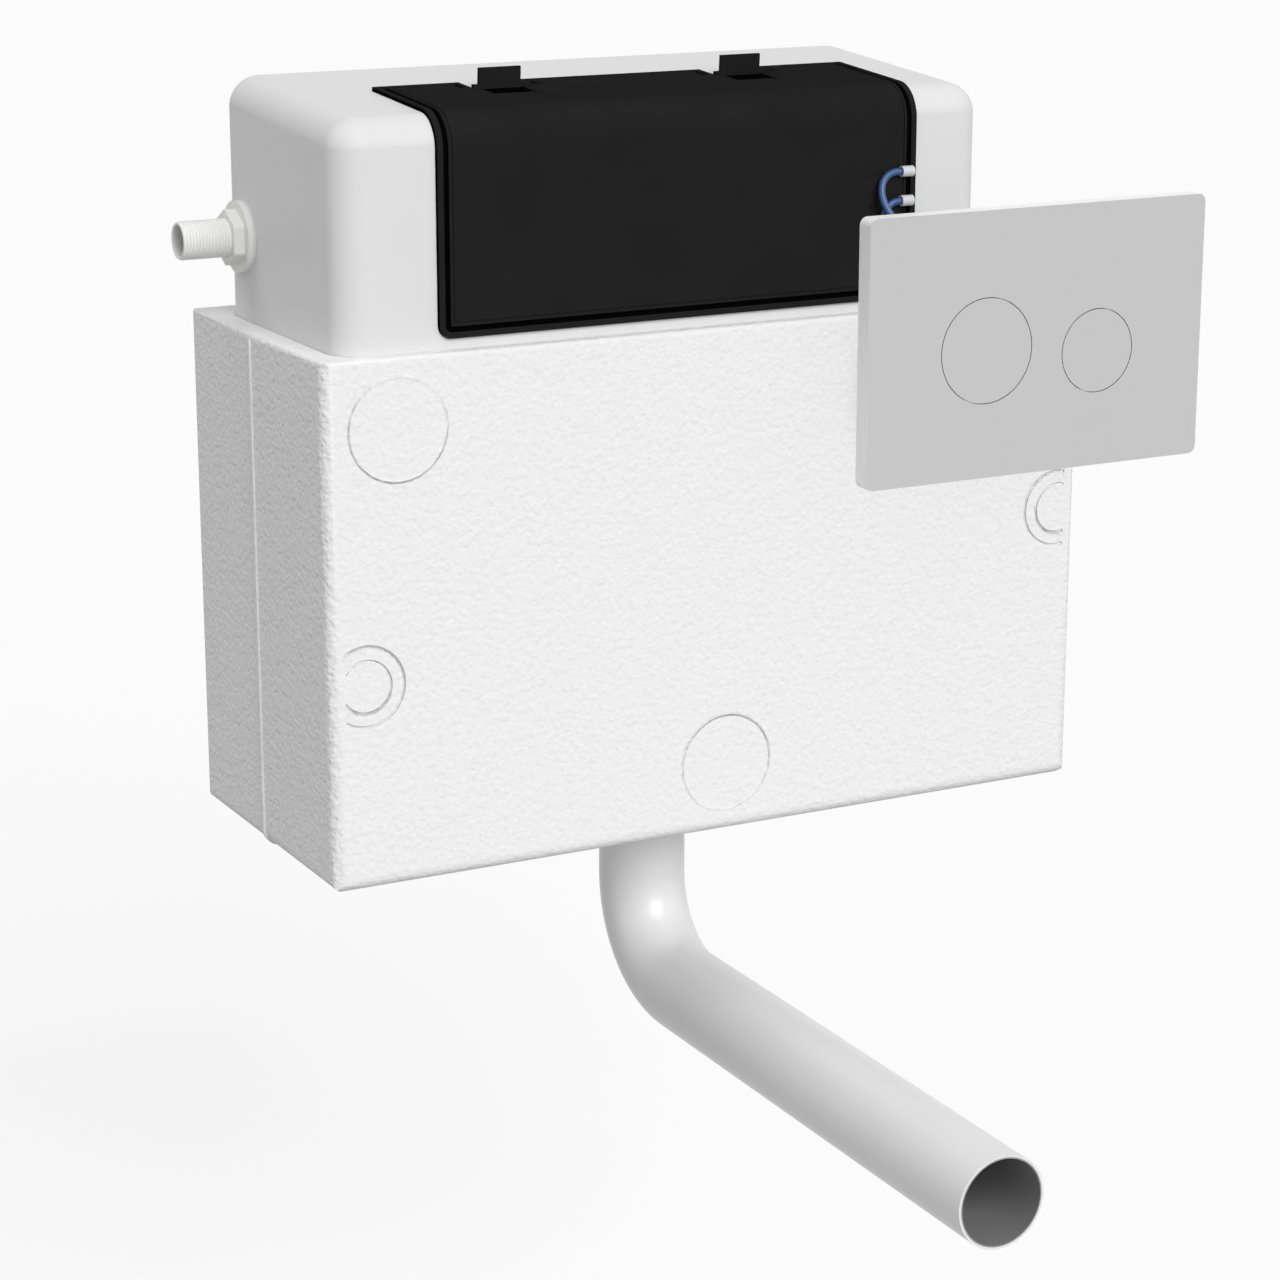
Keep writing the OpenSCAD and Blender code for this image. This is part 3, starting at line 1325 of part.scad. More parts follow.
insulation_front_shell();
insulation_rear_shell();
tank();
access_cover();
hose_elbows();
wall_brackets();
bracket_screws();
inlet_shank();
inlet_strainer();
inlet_back_nut();
inlet_washer();
fill_valve_body();
fill_valve_diaphragm();
fill_valve_cap();
fill_discharge_tube();
float_arm();
float_arm_pin();
float_cup();
float_rod();
flush_valve_base();
base_washer();
outlet_back_nut();
pipe_seal();
valve_cage();
overflow_plunger();
seat_seal();
lift_yoke();
full_actuator_piston();
full_actuator_housing();
half_flush_float();
half_lift_yoke();
half_actuator_piston();
half_actuator_housing();
full_inner_hose();
half_inner_hose();
full_outer_hose();
half_outer_hose();
flush_pipe();
plate_fascia();
plate_frame();
full_button();
half_button();
full_pump_housing();
half_pump_housing();
full_pump_bellows();
half_pump_bellows();
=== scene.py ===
import math
import bpy
import bmesh
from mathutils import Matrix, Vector


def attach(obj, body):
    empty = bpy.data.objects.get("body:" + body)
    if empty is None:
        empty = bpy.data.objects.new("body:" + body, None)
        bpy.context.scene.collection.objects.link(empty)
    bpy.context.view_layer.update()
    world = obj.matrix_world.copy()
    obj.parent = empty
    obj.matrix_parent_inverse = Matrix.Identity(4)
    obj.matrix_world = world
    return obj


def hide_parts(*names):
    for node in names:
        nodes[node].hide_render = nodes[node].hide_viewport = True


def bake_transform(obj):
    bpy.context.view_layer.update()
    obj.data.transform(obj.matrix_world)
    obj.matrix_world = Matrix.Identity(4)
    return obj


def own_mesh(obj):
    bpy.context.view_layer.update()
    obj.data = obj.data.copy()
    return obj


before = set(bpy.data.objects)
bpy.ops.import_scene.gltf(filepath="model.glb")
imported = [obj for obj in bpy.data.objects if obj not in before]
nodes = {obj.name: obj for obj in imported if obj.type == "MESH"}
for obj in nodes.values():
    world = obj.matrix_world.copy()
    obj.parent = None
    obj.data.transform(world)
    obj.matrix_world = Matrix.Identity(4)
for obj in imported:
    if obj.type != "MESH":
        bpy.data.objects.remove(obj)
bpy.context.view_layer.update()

scene = bpy.context.scene
print("frame loaded:", len(nodes), "nodes")

# Camera at the photo's angle: 27.7 degrees to the left, 15.4 degrees above
camera = {
    "place": (-0.8730, -1.7559, 0.2482),
    "towards": (0.4482, 0.8538, -0.2647),
    "lens": 95.2,  # mm
    "sensor": 36,  # mm, square
    "farthest": 60,  # m, past the floor's edges
}
cameraData = bpy.data.cameras.new("photoCamera")
cameraData.lens = camera["lens"]
cameraData.sensor_width = camera["sensor"]
cameraData.clip_end = camera["farthest"]
cameraObject = bpy.data.objects.new("photoCamera", cameraData)
cameraObject.location = camera["place"]
cameraObject.rotation_euler = Vector(camera["towards"]).to_track_quat("-Z", "Y").to_euler()
scene.collection.objects.link(cameraObject)
scene.camera = cameraObject
print("camera set")


def hexColour(text):
    # sRGB hex to linear
    values = [int(text[i:i + 2], 16) / 255 for i in (1, 3, 5)]
    return tuple(v / 12.92 if v <= 0.04045 else ((v + 0.055) / 1.055) ** 2.4 for v in values) + (1.0,)


def addNode(tree, kind, settings=None, links=None):
    # settings go to a socket of that name or number, or else to the node itself
    node = tree.nodes.new(kind)
    for key, value in (settings or {}).items():
        if isinstance(key, int) or key in node.inputs:
            node.inputs[key].default_value = value
        else:
            setattr(node, key, value)
    for key, source in (links or {}).items():
        tree.links.new(source, node.inputs[key])
    return node


def newMaterial(name):
    material = bpy.data.materials.new(name)
    material.use_nodes = True
    material.node_tree.nodes.clear()
    return material, material.node_tree


def addPiece(name, mesh, slot, body=None):
    thing = bpy.data.objects.new(name, mesh)
    scene.collection.objects.link(thing)
    mesh.materials.append(materials[slot])
    mesh.polygons.foreach_set("use_smooth", [True] * len(mesh.polygons))
    if body:
        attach(thing, body)
    return thing


def roundAngles(sides):
    return [2 * math.pi * j / sides for j in range(sides)]


def gridMesh(name, rows, capEnds=False):
    # closed rings of points, all of one length, joined into quads
    mesh = bpy.data.meshes.new(name)
    count = len(rows[0])
    faces = []
    for i in range(len(rows) - 1):
        for j in range(count):
            k = (j + 1) % count
            faces.append((i * count + j, i * count + k, (i + 1) * count + k, (i + 1) * count + j))
    if capEnds:
        faces.append(tuple(reversed(range(count))))
        faces.append(tuple((len(rows) - 1) * count + j for j in range(count)))
    mesh.from_pydata([tuple(p) for row in rows for p in row], [], faces)
    mesh.update()
    return mesh


# A colour that wanders a little between two shades, for surfaces that are never quite even
def addShades(tree, place, low, high, sizeMm):
    cloud = addNode(tree, "ShaderNodeTexNoise", {"Scale": 1000 / sizeMm, "Detail": 2.0}, {"Vector": place})
    return addNode(tree, "ShaderNodeMix", {"data_type": "RGBA", 6: hexColour(low), 7: hexColour(high)},
                   {0: cloud.outputs["Fac"]}).outputs[2]


# Painted shade: the bore of the pipe's long arm is coloured a darker grey than its outside, standing in for
# the shade inside it
def addPaintedBoreShade(tree, place, colour, bore):
    parts = addNode(tree, "ShaderNodeSeparateXYZ", None, {0: place})
    height = addNode(tree, "ShaderNodeMath", {"operation": "SUBTRACT", 1: bore["axisZ"]},
                     {0: parts.outputs["Z"]})
    across = addNode(tree, "ShaderNodeCombineXYZ", None, {"X": parts.outputs["X"], "Z": height.outputs[0]})
    reach = addNode(tree, "ShaderNodeVectorMath", {"operation": "LENGTH"}, {0: across.outputs[0]})
    near = addNode(tree, "ShaderNodeMath", {"operation": "LESS_THAN", 1: bore["radius"]},
                   {0: reach.outputs["Value"]})
    straight = addNode(tree, "ShaderNodeMath", {"operation": "LESS_THAN", 1: bore["bendY"]},
                       {0: parts.outputs["Y"]})
    inside = addNode(tree, "ShaderNodeMath", {"operation": "MULTIPLY"},
                     {0: near.outputs[0], 1: straight.outputs[0]})
    return addNode(tree, "ShaderNodeMix", {"data_type": "RGBA", 7: hexColour(bore["colour"])},
                   {0: inside.outputs[0], 6: colour}).outputs[2]


# Painted shade: the groove along the cover's rim, where little light gets in, is coloured near black. Its
# floor lies a set depth under the cover's skin, which is a round of one radius between the front face and the
# sloping top
def addPaintedGrooveShade(tree, place, colour, groove):
    away = addNode(tree, "ShaderNodeVectorMath", {"operation": "SUBTRACT", 1: groove["centre"]}, {0: place})
    up = addNode(tree, "ShaderNodeVectorMath", {"operation": "DOT_PRODUCT", 1: groove["topNormal"]},
                 {0: away.outputs[0]})
    out = addNode(tree, "ShaderNodeVectorMath", {"operation": "DOT_PRODUCT", 1: groove["frontNormal"]},
                  {0: away.outputs[0]})
    over = addNode(tree, "ShaderNodeMath", {"operation": "MAXIMUM", 1: 0.0}, {0: up.outputs["Value"]})
    before = addNode(tree, "ShaderNodeMath", {"operation": "MAXIMUM", 1: 0.0}, {0: out.outputs["Value"]})
    corner = addNode(tree, "ShaderNodeCombineXYZ", None, {"Y": before.outputs[0], "Z": over.outputs[0]})
    reach = addNode(tree, "ShaderNodeVectorMath", {"operation": "LENGTH"}, {0: corner.outputs[0]})
    inGroove = addNode(tree, "ShaderNodeMath", {"operation": "COMPARE", 1: groove["skin"] - groove["depth"],
                                                2: groove["reach"]}, {0: reach.outputs["Value"]})
    return addNode(tree, "ShaderNodeMix", {"data_type": "RGBA", 7: hexColour(groove["colour"])},
                   {0: inGroove.outputs[0], 6: colour}).outputs[2]


# Painted light on the plate: faces turned away from the front are near white at the outer rim, a painted
# highlight, and dark grey in the button gaps, painted shade
def addPaintedEdgeLight(tree, place, colour, edges):
    surface = addNode(tree, "ShaderNodeNewGeometry")
    facing = addNode(tree, "ShaderNodeSeparateXYZ", None, {0: surface.outputs["True Normal"]})
    forward = addNode(tree, "ShaderNodeMath", {"operation": "ABSOLUTE"}, {0: facing.outputs["Y"]})
    edge = addNode(tree, "ShaderNodeMapRange", {"From Min": edges["sideUpTo"], "From Max": edges["faceFrom"],
                                                "To Min": 1.0, "To Max": 0.0}, {"Value": forward.outputs[0]})
    away = addNode(tree, "ShaderNodeVectorMath", {"operation": "SUBTRACT", 1: edges["middle"]}, {0: place})
    share = addNode(tree, "ShaderNodeVectorMath", {"operation": "DIVIDE", 1: edges["halfSize"]},
                    {0: away.outputs[0]})
    reach = addNode(tree, "ShaderNodeVectorMath", {"operation": "ABSOLUTE"}, {0: share.outputs[0]})
    reaches = addNode(tree, "ShaderNodeSeparateXYZ", None, {0: reach.outputs[0]})
    farthest = addNode(tree, "ShaderNodeMath", {"operation": "MAXIMUM"},
                       {0: reaches.outputs["X"], 1: reaches.outputs["Z"]})
    rim = addNode(tree, "ShaderNodeMath", {"operation": "GREATER_THAN", 1: edges["rimFrom"]},
                  {0: farthest.outputs[0]})
    sides = addNode(tree, "ShaderNodeMix",
                    {"data_type": "RGBA", 6: hexColour(edges["gap"]), 7: hexColour(edges["rim"])},
                    {0: rim.outputs[0]})
    return addNode(tree, "ShaderNodeMix", {"data_type": "RGBA"},
                   {0: edge.outputs["Result"], 6: colour, 7: sides.outputs[2]}).outputs[2]


# Moulded plastic: an even body colour, a fine grain from the tool and a slow waviness. These values hold
# where a plastic's own look gives no other
plainPlastic = {
    "cloudMm": 40,
    "grainDepth": 0.0002,  # m, for each mm of grainMm
    "wave": 0.1, "waveMm": 60, "waveDepth": 0.0015,  # m
    "shinier": 0.04, "duller": 0.06,  # how far the roughness wanders
    "specular": 0.5, "clear": 0.0, "ior": 1.49,
}
# Painted light that some looks add to the body colour: painted shade in the pipe's bore and the cover's
# groove, a painted highlight on the plate's rim sides and painted shade in its button gaps
paintedShadeAndHighlight = {"bore": addPaintedBoreShade, "groove": addPaintedGrooveShade, "edges": addPaintedEdgeLight}


def makeMouldedPlastic(name, ownLook):
    look = {**plainPlastic, **ownLook}
    material, tree = newMaterial(name)
    place = addNode(tree, "ShaderNodeTexCoord").outputs["Object"]
    colour = addShades(tree, place, look["dark"], look["light"], look["cloudMm"])
    # painted shade and painted highlight from the look's extra keys
    for key, addShade in paintedShadeAndHighlight.items():
        if key in look:
            colour = addShade(tree, place, colour, look[key])
    grain = addNode(tree, "ShaderNodeTexNoise", {"Scale": 1000 / look["grainMm"], "Detail": 3.0},
                    {"Vector": place})
    fine = addNode(tree, "ShaderNodeBump",
                   {"Strength": look["grain"], "Distance": look["grainMm"] * look["grainDepth"]},
                   {"Height": grain.outputs["Fac"]})
    wave = addNode(tree, "ShaderNodeTexNoise", {"Scale": 1000 / look["waveMm"], "Detail": 1.0},
                   {"Vector": place})
    slow = addNode(tree, "ShaderNodeBump", {"Strength": look["wave"], "Distance": look["waveDepth"]},
                   {"Height": wave.outputs["Fac"], "Normal": fine.outputs["Normal"]})
    rough = addNode(tree, "ShaderNodeMapRange", {"To Min": look["roughness"] - look["shinier"],
                                                 "To Max": look["roughness"] + look["duller"]},
                    {"Value": grain.outputs["Fac"]})
    shader = addNode(tree, "ShaderNodeBsdfPrincipled",
                     {"IOR": look["ior"], "Specular IOR Level": look["specular"],
                      "Transmission Weight": look["clear"]},
                     {"Base Color": colour, "Roughness": rough.outputs["Result"],
                      "Normal": slow.outputs["Normal"]})
    addNode(tree, "ShaderNodeOutputMaterial", None, {"Surface": shader.outputs["BSDF"]})
    return material


# Expanded polystyrene, steam moulded: dull white, fused beads pressed flat against the tool. Real beads are
# about 3 mm, and they stand out more on the two ends, where the shells leave the tool
foam = {
    "dark": "#EAEAEA", "light": "#F3F3F3", "roughness": 0.85, "specular": 0.25, "ior": 1.45,
    "beadMm": 3.0, "beadSoftness": 0.6, "beadScatter": 0.9, "beadShare": -0.45,
    "lumpMm": 4.2, "lumpRoughness": 0.6,
    "frontRelief": 0.5, "endRelief": 1.0, "reliefDepth": 0.0016,  # m
}
# The mould's round plugs left shallow steps on the front; all in metres
mouldSteps = {
    "edge": 0.0024,  # width over which a step rises
    "frontOf": -0.12,  # only on what lies in front of this y
    "fadeFrom": 0.2185, "fadeTo": 0.2265,  # distance from the middle where the steps run out
    "rounds": [  # centre across, centre up, radius, rise inside it
        (-0.191, -0.1075, 0.0277, 0.0012), (0.003, -0.3145, 0.0277, -0.0016),
        (-0.212, -0.2425, 0.0219, -0.0016), (-0.212, -0.2425, 0.0144, 0.0016),
        (0.219, -0.193, 0.0219, -0.0016), (0.219, -0.193, 0.0144, 0.0016)],
}


def addMouldSteps(tree, place, steps):
    # the height in metres, as a bump of distance 1 takes it
    flat = addNode(tree, "ShaderNodeVectorMath", {"operation": "MULTIPLY", 1: (1, 0, 1)}, {0: place})
    parts = addNode(tree, "ShaderNodeSeparateXYZ", None, {0: place})
    height = addNode(tree, "ShaderNodeValue").outputs[0]
    height.default_value = 0.0
    for across, up, radius, rise in steps["rounds"]:
        reach = addNode(tree, "ShaderNodeVectorMath", {"operation": "DISTANCE", 1: (across, 0, up)},
                        {0: flat.outputs[0]})
        inside = addNode(tree, "ShaderNodeMapRange",
                         {"interpolation_type": "SMOOTHSTEP", "From Min": radius - steps["edge"] / 2,
                          "From Max": radius + steps["edge"] / 2, "To Min": 1.0, "To Max": 0.0},
                         {"Value": reach.outputs["Value"]})
        height = addNode(tree, "ShaderNodeMath", {"operation": "MULTIPLY_ADD", 1: rise},
                         {0: inside.outputs["Result"], 2: height}).outputs[0]
    outward = addNode(tree, "ShaderNodeMath", {"operation": "ABSOLUTE"}, {0: parts.outputs["X"]})
    fade = addNode(tree, "ShaderNodeMapRange",
                   {"interpolation_type": "SMOOTHSTEP", "From Min": steps["fadeFrom"],
                    "From Max": steps["fadeTo"], "To Min": 1.0, "To Max": 0.0}, {"Value": outward.outputs[0]})
    front = addNode(tree, "ShaderNodeMath", {"operation": "LESS_THAN", 1: steps["frontOf"]},
                    {0: parts.outputs["Y"]})
    shown = addNode(tree, "ShaderNodeMath", {"operation": "MULTIPLY"},
                    {0: fade.outputs["Result"], 1: front.outputs[0]})
    return addNode(tree, "ShaderNodeMath", {"operation": "MULTIPLY"},
                   {0: height, 1: shown.outputs[0]}).outputs[0]


def makeFoam(name, look, steps):
    material, tree = newMaterial(name)
    place = addNode(tree, "ShaderNodeTexCoord").outputs["Object"]
    beads = addNode(tree, "ShaderNodeTexVoronoi",
                    {"feature": "SMOOTH_F1", "Scale": 1000 / look["beadMm"],
                     "Smoothness": look["beadSoftness"], "Randomness": look["beadScatter"]},
                    {"Vector": place})
    lumps = addNode(tree, "ShaderNodeTexNoise",
                    {"Scale": 1000 / look["lumpMm"], "Detail": 3.0, "Roughness": look["lumpRoughness"]},
                    {"Vector": place})
    relief = addNode(tree, "ShaderNodeMath", {"operation": "MULTIPLY_ADD", 1: look["beadShare"]},
                     {0: beads.outputs["Distance"], 2: lumps.outputs["Fac"]})
    surface = addNode(tree, "ShaderNodeNewGeometry")
    facing = addNode(tree, "ShaderNodeSeparateXYZ", None, {0: surface.outputs["True Normal"]})
    sideways = addNode(tree, "ShaderNodeMath", {"operation": "ABSOLUTE"}, {0: facing.outputs["X"]})
    strength = addNode(tree, "ShaderNodeMapRange",
                       {"To Min": look["frontRelief"], "To Max": look["endRelief"]},
                       {"Value": sideways.outputs[0]})
    bump = addNode(tree, "ShaderNodeBump", {"Distance": look["reliefDepth"]},
                   {"Strength": strength.outputs["Result"], "Height": relief.outputs[0]})
    marks = addNode(tree, "ShaderNodeBump", {"Distance": 1.0},
                    {"Height": addMouldSteps(tree, place, steps), "Normal": bump.outputs["Normal"]})
    colour = addShades(tree, place, look["dark"], look["light"], look["beadMm"])
    shader = addNode(tree, "ShaderNodeBsdfPrincipled",
                     {"IOR": look["ior"], "Roughness": look["roughness"],
                      "Specular IOR Level": look["specular"]},
                     {"Base Color": colour, "Normal": marks.outputs["Normal"]})
    addNode(tree, "ShaderNodeOutputMaterial", None, {"Surface": shader.outputs["BSDF"]})
    return material


# Mild steel, zinc plated: a cool metal with faint cloudy patches of a few millimetres
zinc = {
    "dark": "#B9BCC0", "light": "#D5D7DA", "patchMm": 6.0,
    "grainMm": 0.5, "grain": 0.2, "grainDepth": 0.0001,  # m
    "roughness": 0.34, "shinier": 0.08, "duller": 0.1,
}


def makeZinc(name, look):
    material, tree = newMaterial(name)
    place = addNode(tree, "ShaderNodeTexCoord").outputs["Object"]
    patches = addNode(tree, "ShaderNodeTexVoronoi", {"feature": "F1", "Scale": 1000 / look["patchMm"]},
                      {"Vector": place})
    colour = addNode(tree, "ShaderNodeMix",
                     {"data_type": "RGBA", 6: hexColour(look["dark"]), 7: hexColour(look["light"])},
                     {0: patches.outputs["Distance"]})
    rough = addNode(tree, "ShaderNodeMapRange", {"To Min": look["roughness"] - look["shinier"],
                                                 "To Max": look["roughness"] + look["duller"]},
                    {"Value": patches.outputs["Distance"]})
    grain = addNode(tree, "ShaderNodeTexNoise", {"Scale": 1000 / look["grainMm"], "Detail": 2.0},
                    {"Vector": place})
    bump = addNode(tree, "ShaderNodeBump", {"Strength": look["grain"], "Distance": look["grainDepth"]},
                   {"Height": grain.outputs["Fac"]})
    shader = addNode(tree, "ShaderNodeBsdfPrincipled", {"Metallic": 1.0},
                     {"Base Color": colour.outputs[2], "Roughness": rough.outputs["Result"],
                      "Normal": bump.outputs["Normal"]})
    addNode(tree, "ShaderNodeOutputMaterial", None, {"Surface": shader.outputs["BSDF"]})
    return material


# One look for each moulded plastic; "slot" is its name in the record
plastics = {
    # polyethylene, blow moulded: waxy white, slow waves from the blown wall
    "blowMouldedPolyethylene": {
        "slot": "tank_polyethylene", "dark": "#DCDCDC", "light": "#E0E0E0", "grainMm": 1.2, "grain": 0.1,
        "wave": 0.25, "waveMm": 70, "roughness": 0.5, "specular": 0.3, "ior": 1.51},
    # polypropylene, injection moulded in a spark eroded tool: even black and matt, with painted shade near
    # black in the groove
    "blackPolypropylene": {
        "slot": "cover_black_polypropylene", "dark": "#202020", "light": "#262626", "grainMm": 0.9,
        "grain": 0.25, "wave": 0.3, "waveMm": 90, "roughness": 0.6, "specular": 0.0,
        "groove": {"colour": "#060606", "centre": (0, -0.165, 0.03368), "topNormal": (0, -0.0717, 0.9974),
                   "frontNormal": (0, -1, 0), "skin": 0.0192, "depth": 0.0014, "reach": 0.00075}},
    # nylon, injection moulded: light grey, a soft shine
    "greyNylon": {
        "slot": "elbow_grey_plastic", "dark": "#CBCDCF", "light": "#D6D8DA", "grainMm": 0.8, "grain": 0.1,
        "roughness": 0.35, "ior": 1.53},
    # acetal, injection moulded: dense white with a low shine
    "whiteAcetal": {
        "slot": "fitting_white_acetal", "dark": "#E6E6E4", "light": "#ECECEA", "grainMm": 0.8, "grain": 0.1,
        "roughness": 0.36, "ior": 1.48},
    # ABS dyed through, injection moulded: clean strong colours, low shine
    "blueAbs": {
        "slot": "fitting_blue_plastic", "dark": "#2F5EA2", "light": "#386AB0", "grainMm": 0.8, "grain": 0.15,
        "roughness": 0.38, "ior": 1.54},
    "greenAbs": {
        "slot": "fitting_green_plastic", "dark": "#458A5C", "light": "#4F9868", "grainMm": 0.8, "grain": 0.15,
        "roughness": 0.38, "ior": 1.54},
    # styrene acrylonitrile, injection moulded: grey and half clear
    "smokyStyrene": {
        "slot": "clear_grey_plastic", "dark": "#C4CCD4", "light": "#CFD6DD", "grainMm": 1.0, "grain": 0.1,
        "roughness": 0.25, "clear": 0.35, "ior": 1.57},
    # ABS, injection moulded: black, and grey for the plate's frame, a dull shine
    "blackAbs": {
        "slot": "black_plastic", "dark": "#191A1C", "light": "#202124", "grainMm": 0.8, "grain": 0.2,
        "roughness": 0.42, "specular": 0.35, "ior": 1.54},
    "greyAbs": {
        "slot": "frame_grey_plastic", "dark": "#A8A8AB", "light": "#B2B2B5", "grainMm": 0.8, "grain": 0.2,
        "roughness": 0.5, "ior": 1.54},
    # EPDM rubber, compression moulded: dull black with a little bloom
    "epdmRubber": {
        "slot": "sealing_rubber", "dark": "#1A1A1A", "light": "#242424", "cloudMm": 12, "grainMm": 0.6,
        "grain": 0.3, "roughness": 0.72, "specular": 0.35, "ior": 1.5},
    # silicone rubber, moulded: brick red, satin
    "redSilicone": {
        "slot": "red_silicone", "dark": "#93301F", "light": "#A63A28", "cloudMm": 15, "grainMm": 0.8,
        "grain": 0.12, "roughness": 0.5, "ior": 1.42},
    # polypropylene, extruded and bent: shiny white
    "extrudedPolypropylene": {
        "slot": "pipe_white_polypropylene", "dark": "#E4E4E4", "light": "#E9E9E9", "grainMm": 1.5,
        "grain": 0.04, "wave": 0.12, "waveMm": 50, "roughness": 0.3,
        # the bore's darker grey is painted shade inside the pipe's arm
        "bore": {"colour": "#929292", "axisZ": -0.462, "bendY": -0.150, "radius": 0.0237}},
    # ABS, its front sprayed with a satin lacquer: an even light grey face, with a painted highlight of near
    # white on the rim's sides and painted shade in the button gaps
    "satinLacqueredAbs": {
        "slot": "plate_satin_grey", "dark": "#C3C3C3", "light": "#C6C6C6", "grainMm": 0.7, "grain": 0.06,
        "wave": 0.04, "roughness": 0.45, "specular": 0.3, "ior": 1.54,
        "edges": {"rim": "#FAFAFA", "gap": "#2C2C2C", "sideUpTo": 0.55, "faceFrom": 0.8, "rimFrom": 0.93,
                  "middle": (0.1618, -0.245, -0.0812), "halfSize": (0.108, 1.0, 0.073)}},
    # soft PVC tube, extruded: mid blue, satin
    "blueSoftPvc": {
        "slot": "hose_blue_pvc", "dark": "#2C4C7A", "light": "#355A8C", "cloudMm": 8, "grainMm": 0.7,
        "grain": 0.08, "roughness": 0.36, "ior": 1.53},
}
materials = {look["slot"]: makeMouldedPlastic(name, look) for name, look in plastics.items()}
materials["expanded_polystyrene"] = makeFoam("expandedPolystyrene", foam, mouldSteps)
materials["zinc_plated_steel"] = makeZinc("zincPlatedSteel", zinc)
print("materials made:", len(materials))

# The four air hoses, each on one smooth curve from spigot to spigot, its route in mm; "steady" and "moving"
# are in metres
hoses = {
    "diameter": 0.004, "sides": 20, "stepsBetween": 5,
    "fullOuter": {
        "steady": (0.1285, -0.219, -0.046), "moving": (0.108, -0.187, 0.003),
        "route": [(111.6, -186.4, 6), (106.8, -186.4, 5.8), (102.2, -186.8, 3.8), (99, -187.9, 0),
                  (97.8, -189.5, -5), (98.6, -191.5, -10.5), (101, -194.2, -16), (104.6, -197.6, -21),
                  (109.2, -201.6, -25.2), (114.4, -206, -28.4), (119.6, -210.6, -31.4),
                  (124, -214.8, -34.8), (127, -217.8, -38.8), (128.5, -219, -43.6), (128.5, -219, -48.7)]},
    "halfOuter": {
        "steady": (0.2006, -0.219, -0.055), "moving": (0.110, -0.187, -0.012),
        "route": [(111.6, -186.4, -10), (107.2, -186.4, -10.6), (103.2, -186.6, -13), (100.8, -186.9, -17),
                  (100.6, -187.6, -22), (102.4, -188.8, -27.5), (106.5, -190.4, -32), (112.5, -192, -35),
                  (120, -193.4, -36.6), (129, -194.6, -37), (139, -195.6, -37), (149, -196.6, -37),
                  (158.6, -198.4, -37), (168, -201.2, -37.6), (177, -205.2, -39), (185, -209.8, -41.6),
                  (192, -214.2, -45.6), (197.4, -217.6, -50.2), (200.6, -219, -55.2),
                  (200.6, -219, -60.3)]},
    "fullInner": {
        "steady": (-0.042, -0.129, -0.098), "moving": (0.110, -0.155, 0.002),
        "route": [(116.4, -172, 6), (116.4, -166, 6), (115.2, -159, 5), (110.8, -153, 3), (103.4, -149, 0),
                  (94, -147, -4), (83, -146, -9), (72, -146, -15), (61, -147, -22), (50, -148, -30),
                  (39, -149, -38), (28, -150, -46), (17, -151, -54), (6, -152, -62), (-5, -152, -69.5),
                  (-16, -151, -77.5), (-26, -148, -85), (-35, -143, -91.5), (-40.4, -136, -96),
                  (-42, -129, -97.9), (-42, -123.1, -97.9)]},
    "halfInner": {
        "steady": (0.042, -0.129, -0.098), "moving": (0.112, -0.158, -0.012),
        "route": [(116.4, -172, -10), (116.4, -166, -10), (115.8, -159, -11), (113.8, -152.5, -14),
                  (109.4, -147.5, -19), (103.3, -144.5, -25.5), (96.5, -143, -33), (89.5, -142.5, -41),
                  (82.5, -142.5, -49.5), (75.5, -142.6, -58), (68.5, -142.8, -66.5), (61.5, -142.6, -74.5),
                  (54.5, -141.4, -83), (48, -138.4, -90.6), (43.8, -134.4, -96), (42, -129, -97.9),
                  (42, -123.1, -97.9)]},
}


def smoothRoute(pointsMm, steps):
    # a cubic between each two points, in metres, with even slopes where they meet
    points = [Vector(p) / 1000 for p in pointsMm]
    ends = [points[0] * 2 - points[1]] + points + [points[-1] * 2 - points[-2]]
    route = []
    for i in range(1, len(ends) - 2):
        a, b, c, d = ends[i - 1:i + 3]
        for k in range(steps):
            t = k / steps
            route.append(0.5 * ((b * 2) + (c - a) * t + (a * 2 - b * 5 + c * 4 - d) * t * t
                                + (b * 3 - a - c * 3 + d) * t ** 3))
    return route + [points[-1]]


def tubeMesh(name, route, radius, sides):
    # a round tube that doesn't twist along its route
    rows = []
    along = (route[1] - route[0]).normalized()
    across = along.orthogonal().normalized()
    for i, point in enumerate(route):
        ahead = (route[min(i + 1, len(route) - 1)] - route[max(i - 1, 0)]).normalized()
        across = (across - ahead * across.dot(ahead)).normalized()
        other = ahead.cross(across)
        rows.append([point + (across * math.cos(a) + other * math.sin(a)) * radius
                     for a in roundAngles(sides)])
    return gridMesh(name, rows, capEnds=True)


def layHose(name, node, look):
    route = smoothRoute(look["route"], hoses["stepsBetween"])
    mesh = tubeMesh(name, route, hoses["diameter"] / 2, hoses["sides"])
    piece = addPiece(name, mesh, "hose_blue_pvc")
    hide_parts(node)
    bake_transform(piece)


layHose("fullOuterHose", "full_outer_hose", hoses["fullOuter"])
layHose("halfOuterHose", "half_outer_hose", hoses["halfOuter"])
layHose("fullInnerHose", "full_inner_hose", hoses["fullInner"])
layHose("halfInnerHose", "half_inner_hose", hoses["halfInner"])

# Inlet tail with its real thread, half inch parallel pipe thread, in metres: bore, crest, plain, flange,
# inside and collar are radii, and the three edges are the widths of the broken corners
tail = {
    "sides": 96, "axisY": -0.050, "axisZ": -0.0245, "bore": 0.0085,
    "start": -0.256, "threadEnd": -0.2291, "crest": 0.010475, "depth": 0.0008, "pitch": 0.001814,
    "rowsPerTurn": 12, "toothRise": 1.6, "toothFoot": 0.3, "runOutTurns": 1.2, "leadIn": 0.0012,
    "plain": 0.010175, "flangeFrom": -0.2103, "flangeTo": -0.2073, "flange": 0.017,
    "inside": 0.010975, "collarFrom": -0.1921, "collarTo": -0.1881, "collar": 0.013,
    "edge": 0.0004, "collarEdge": 0.0003, "boreEdge": 0.0006,
}


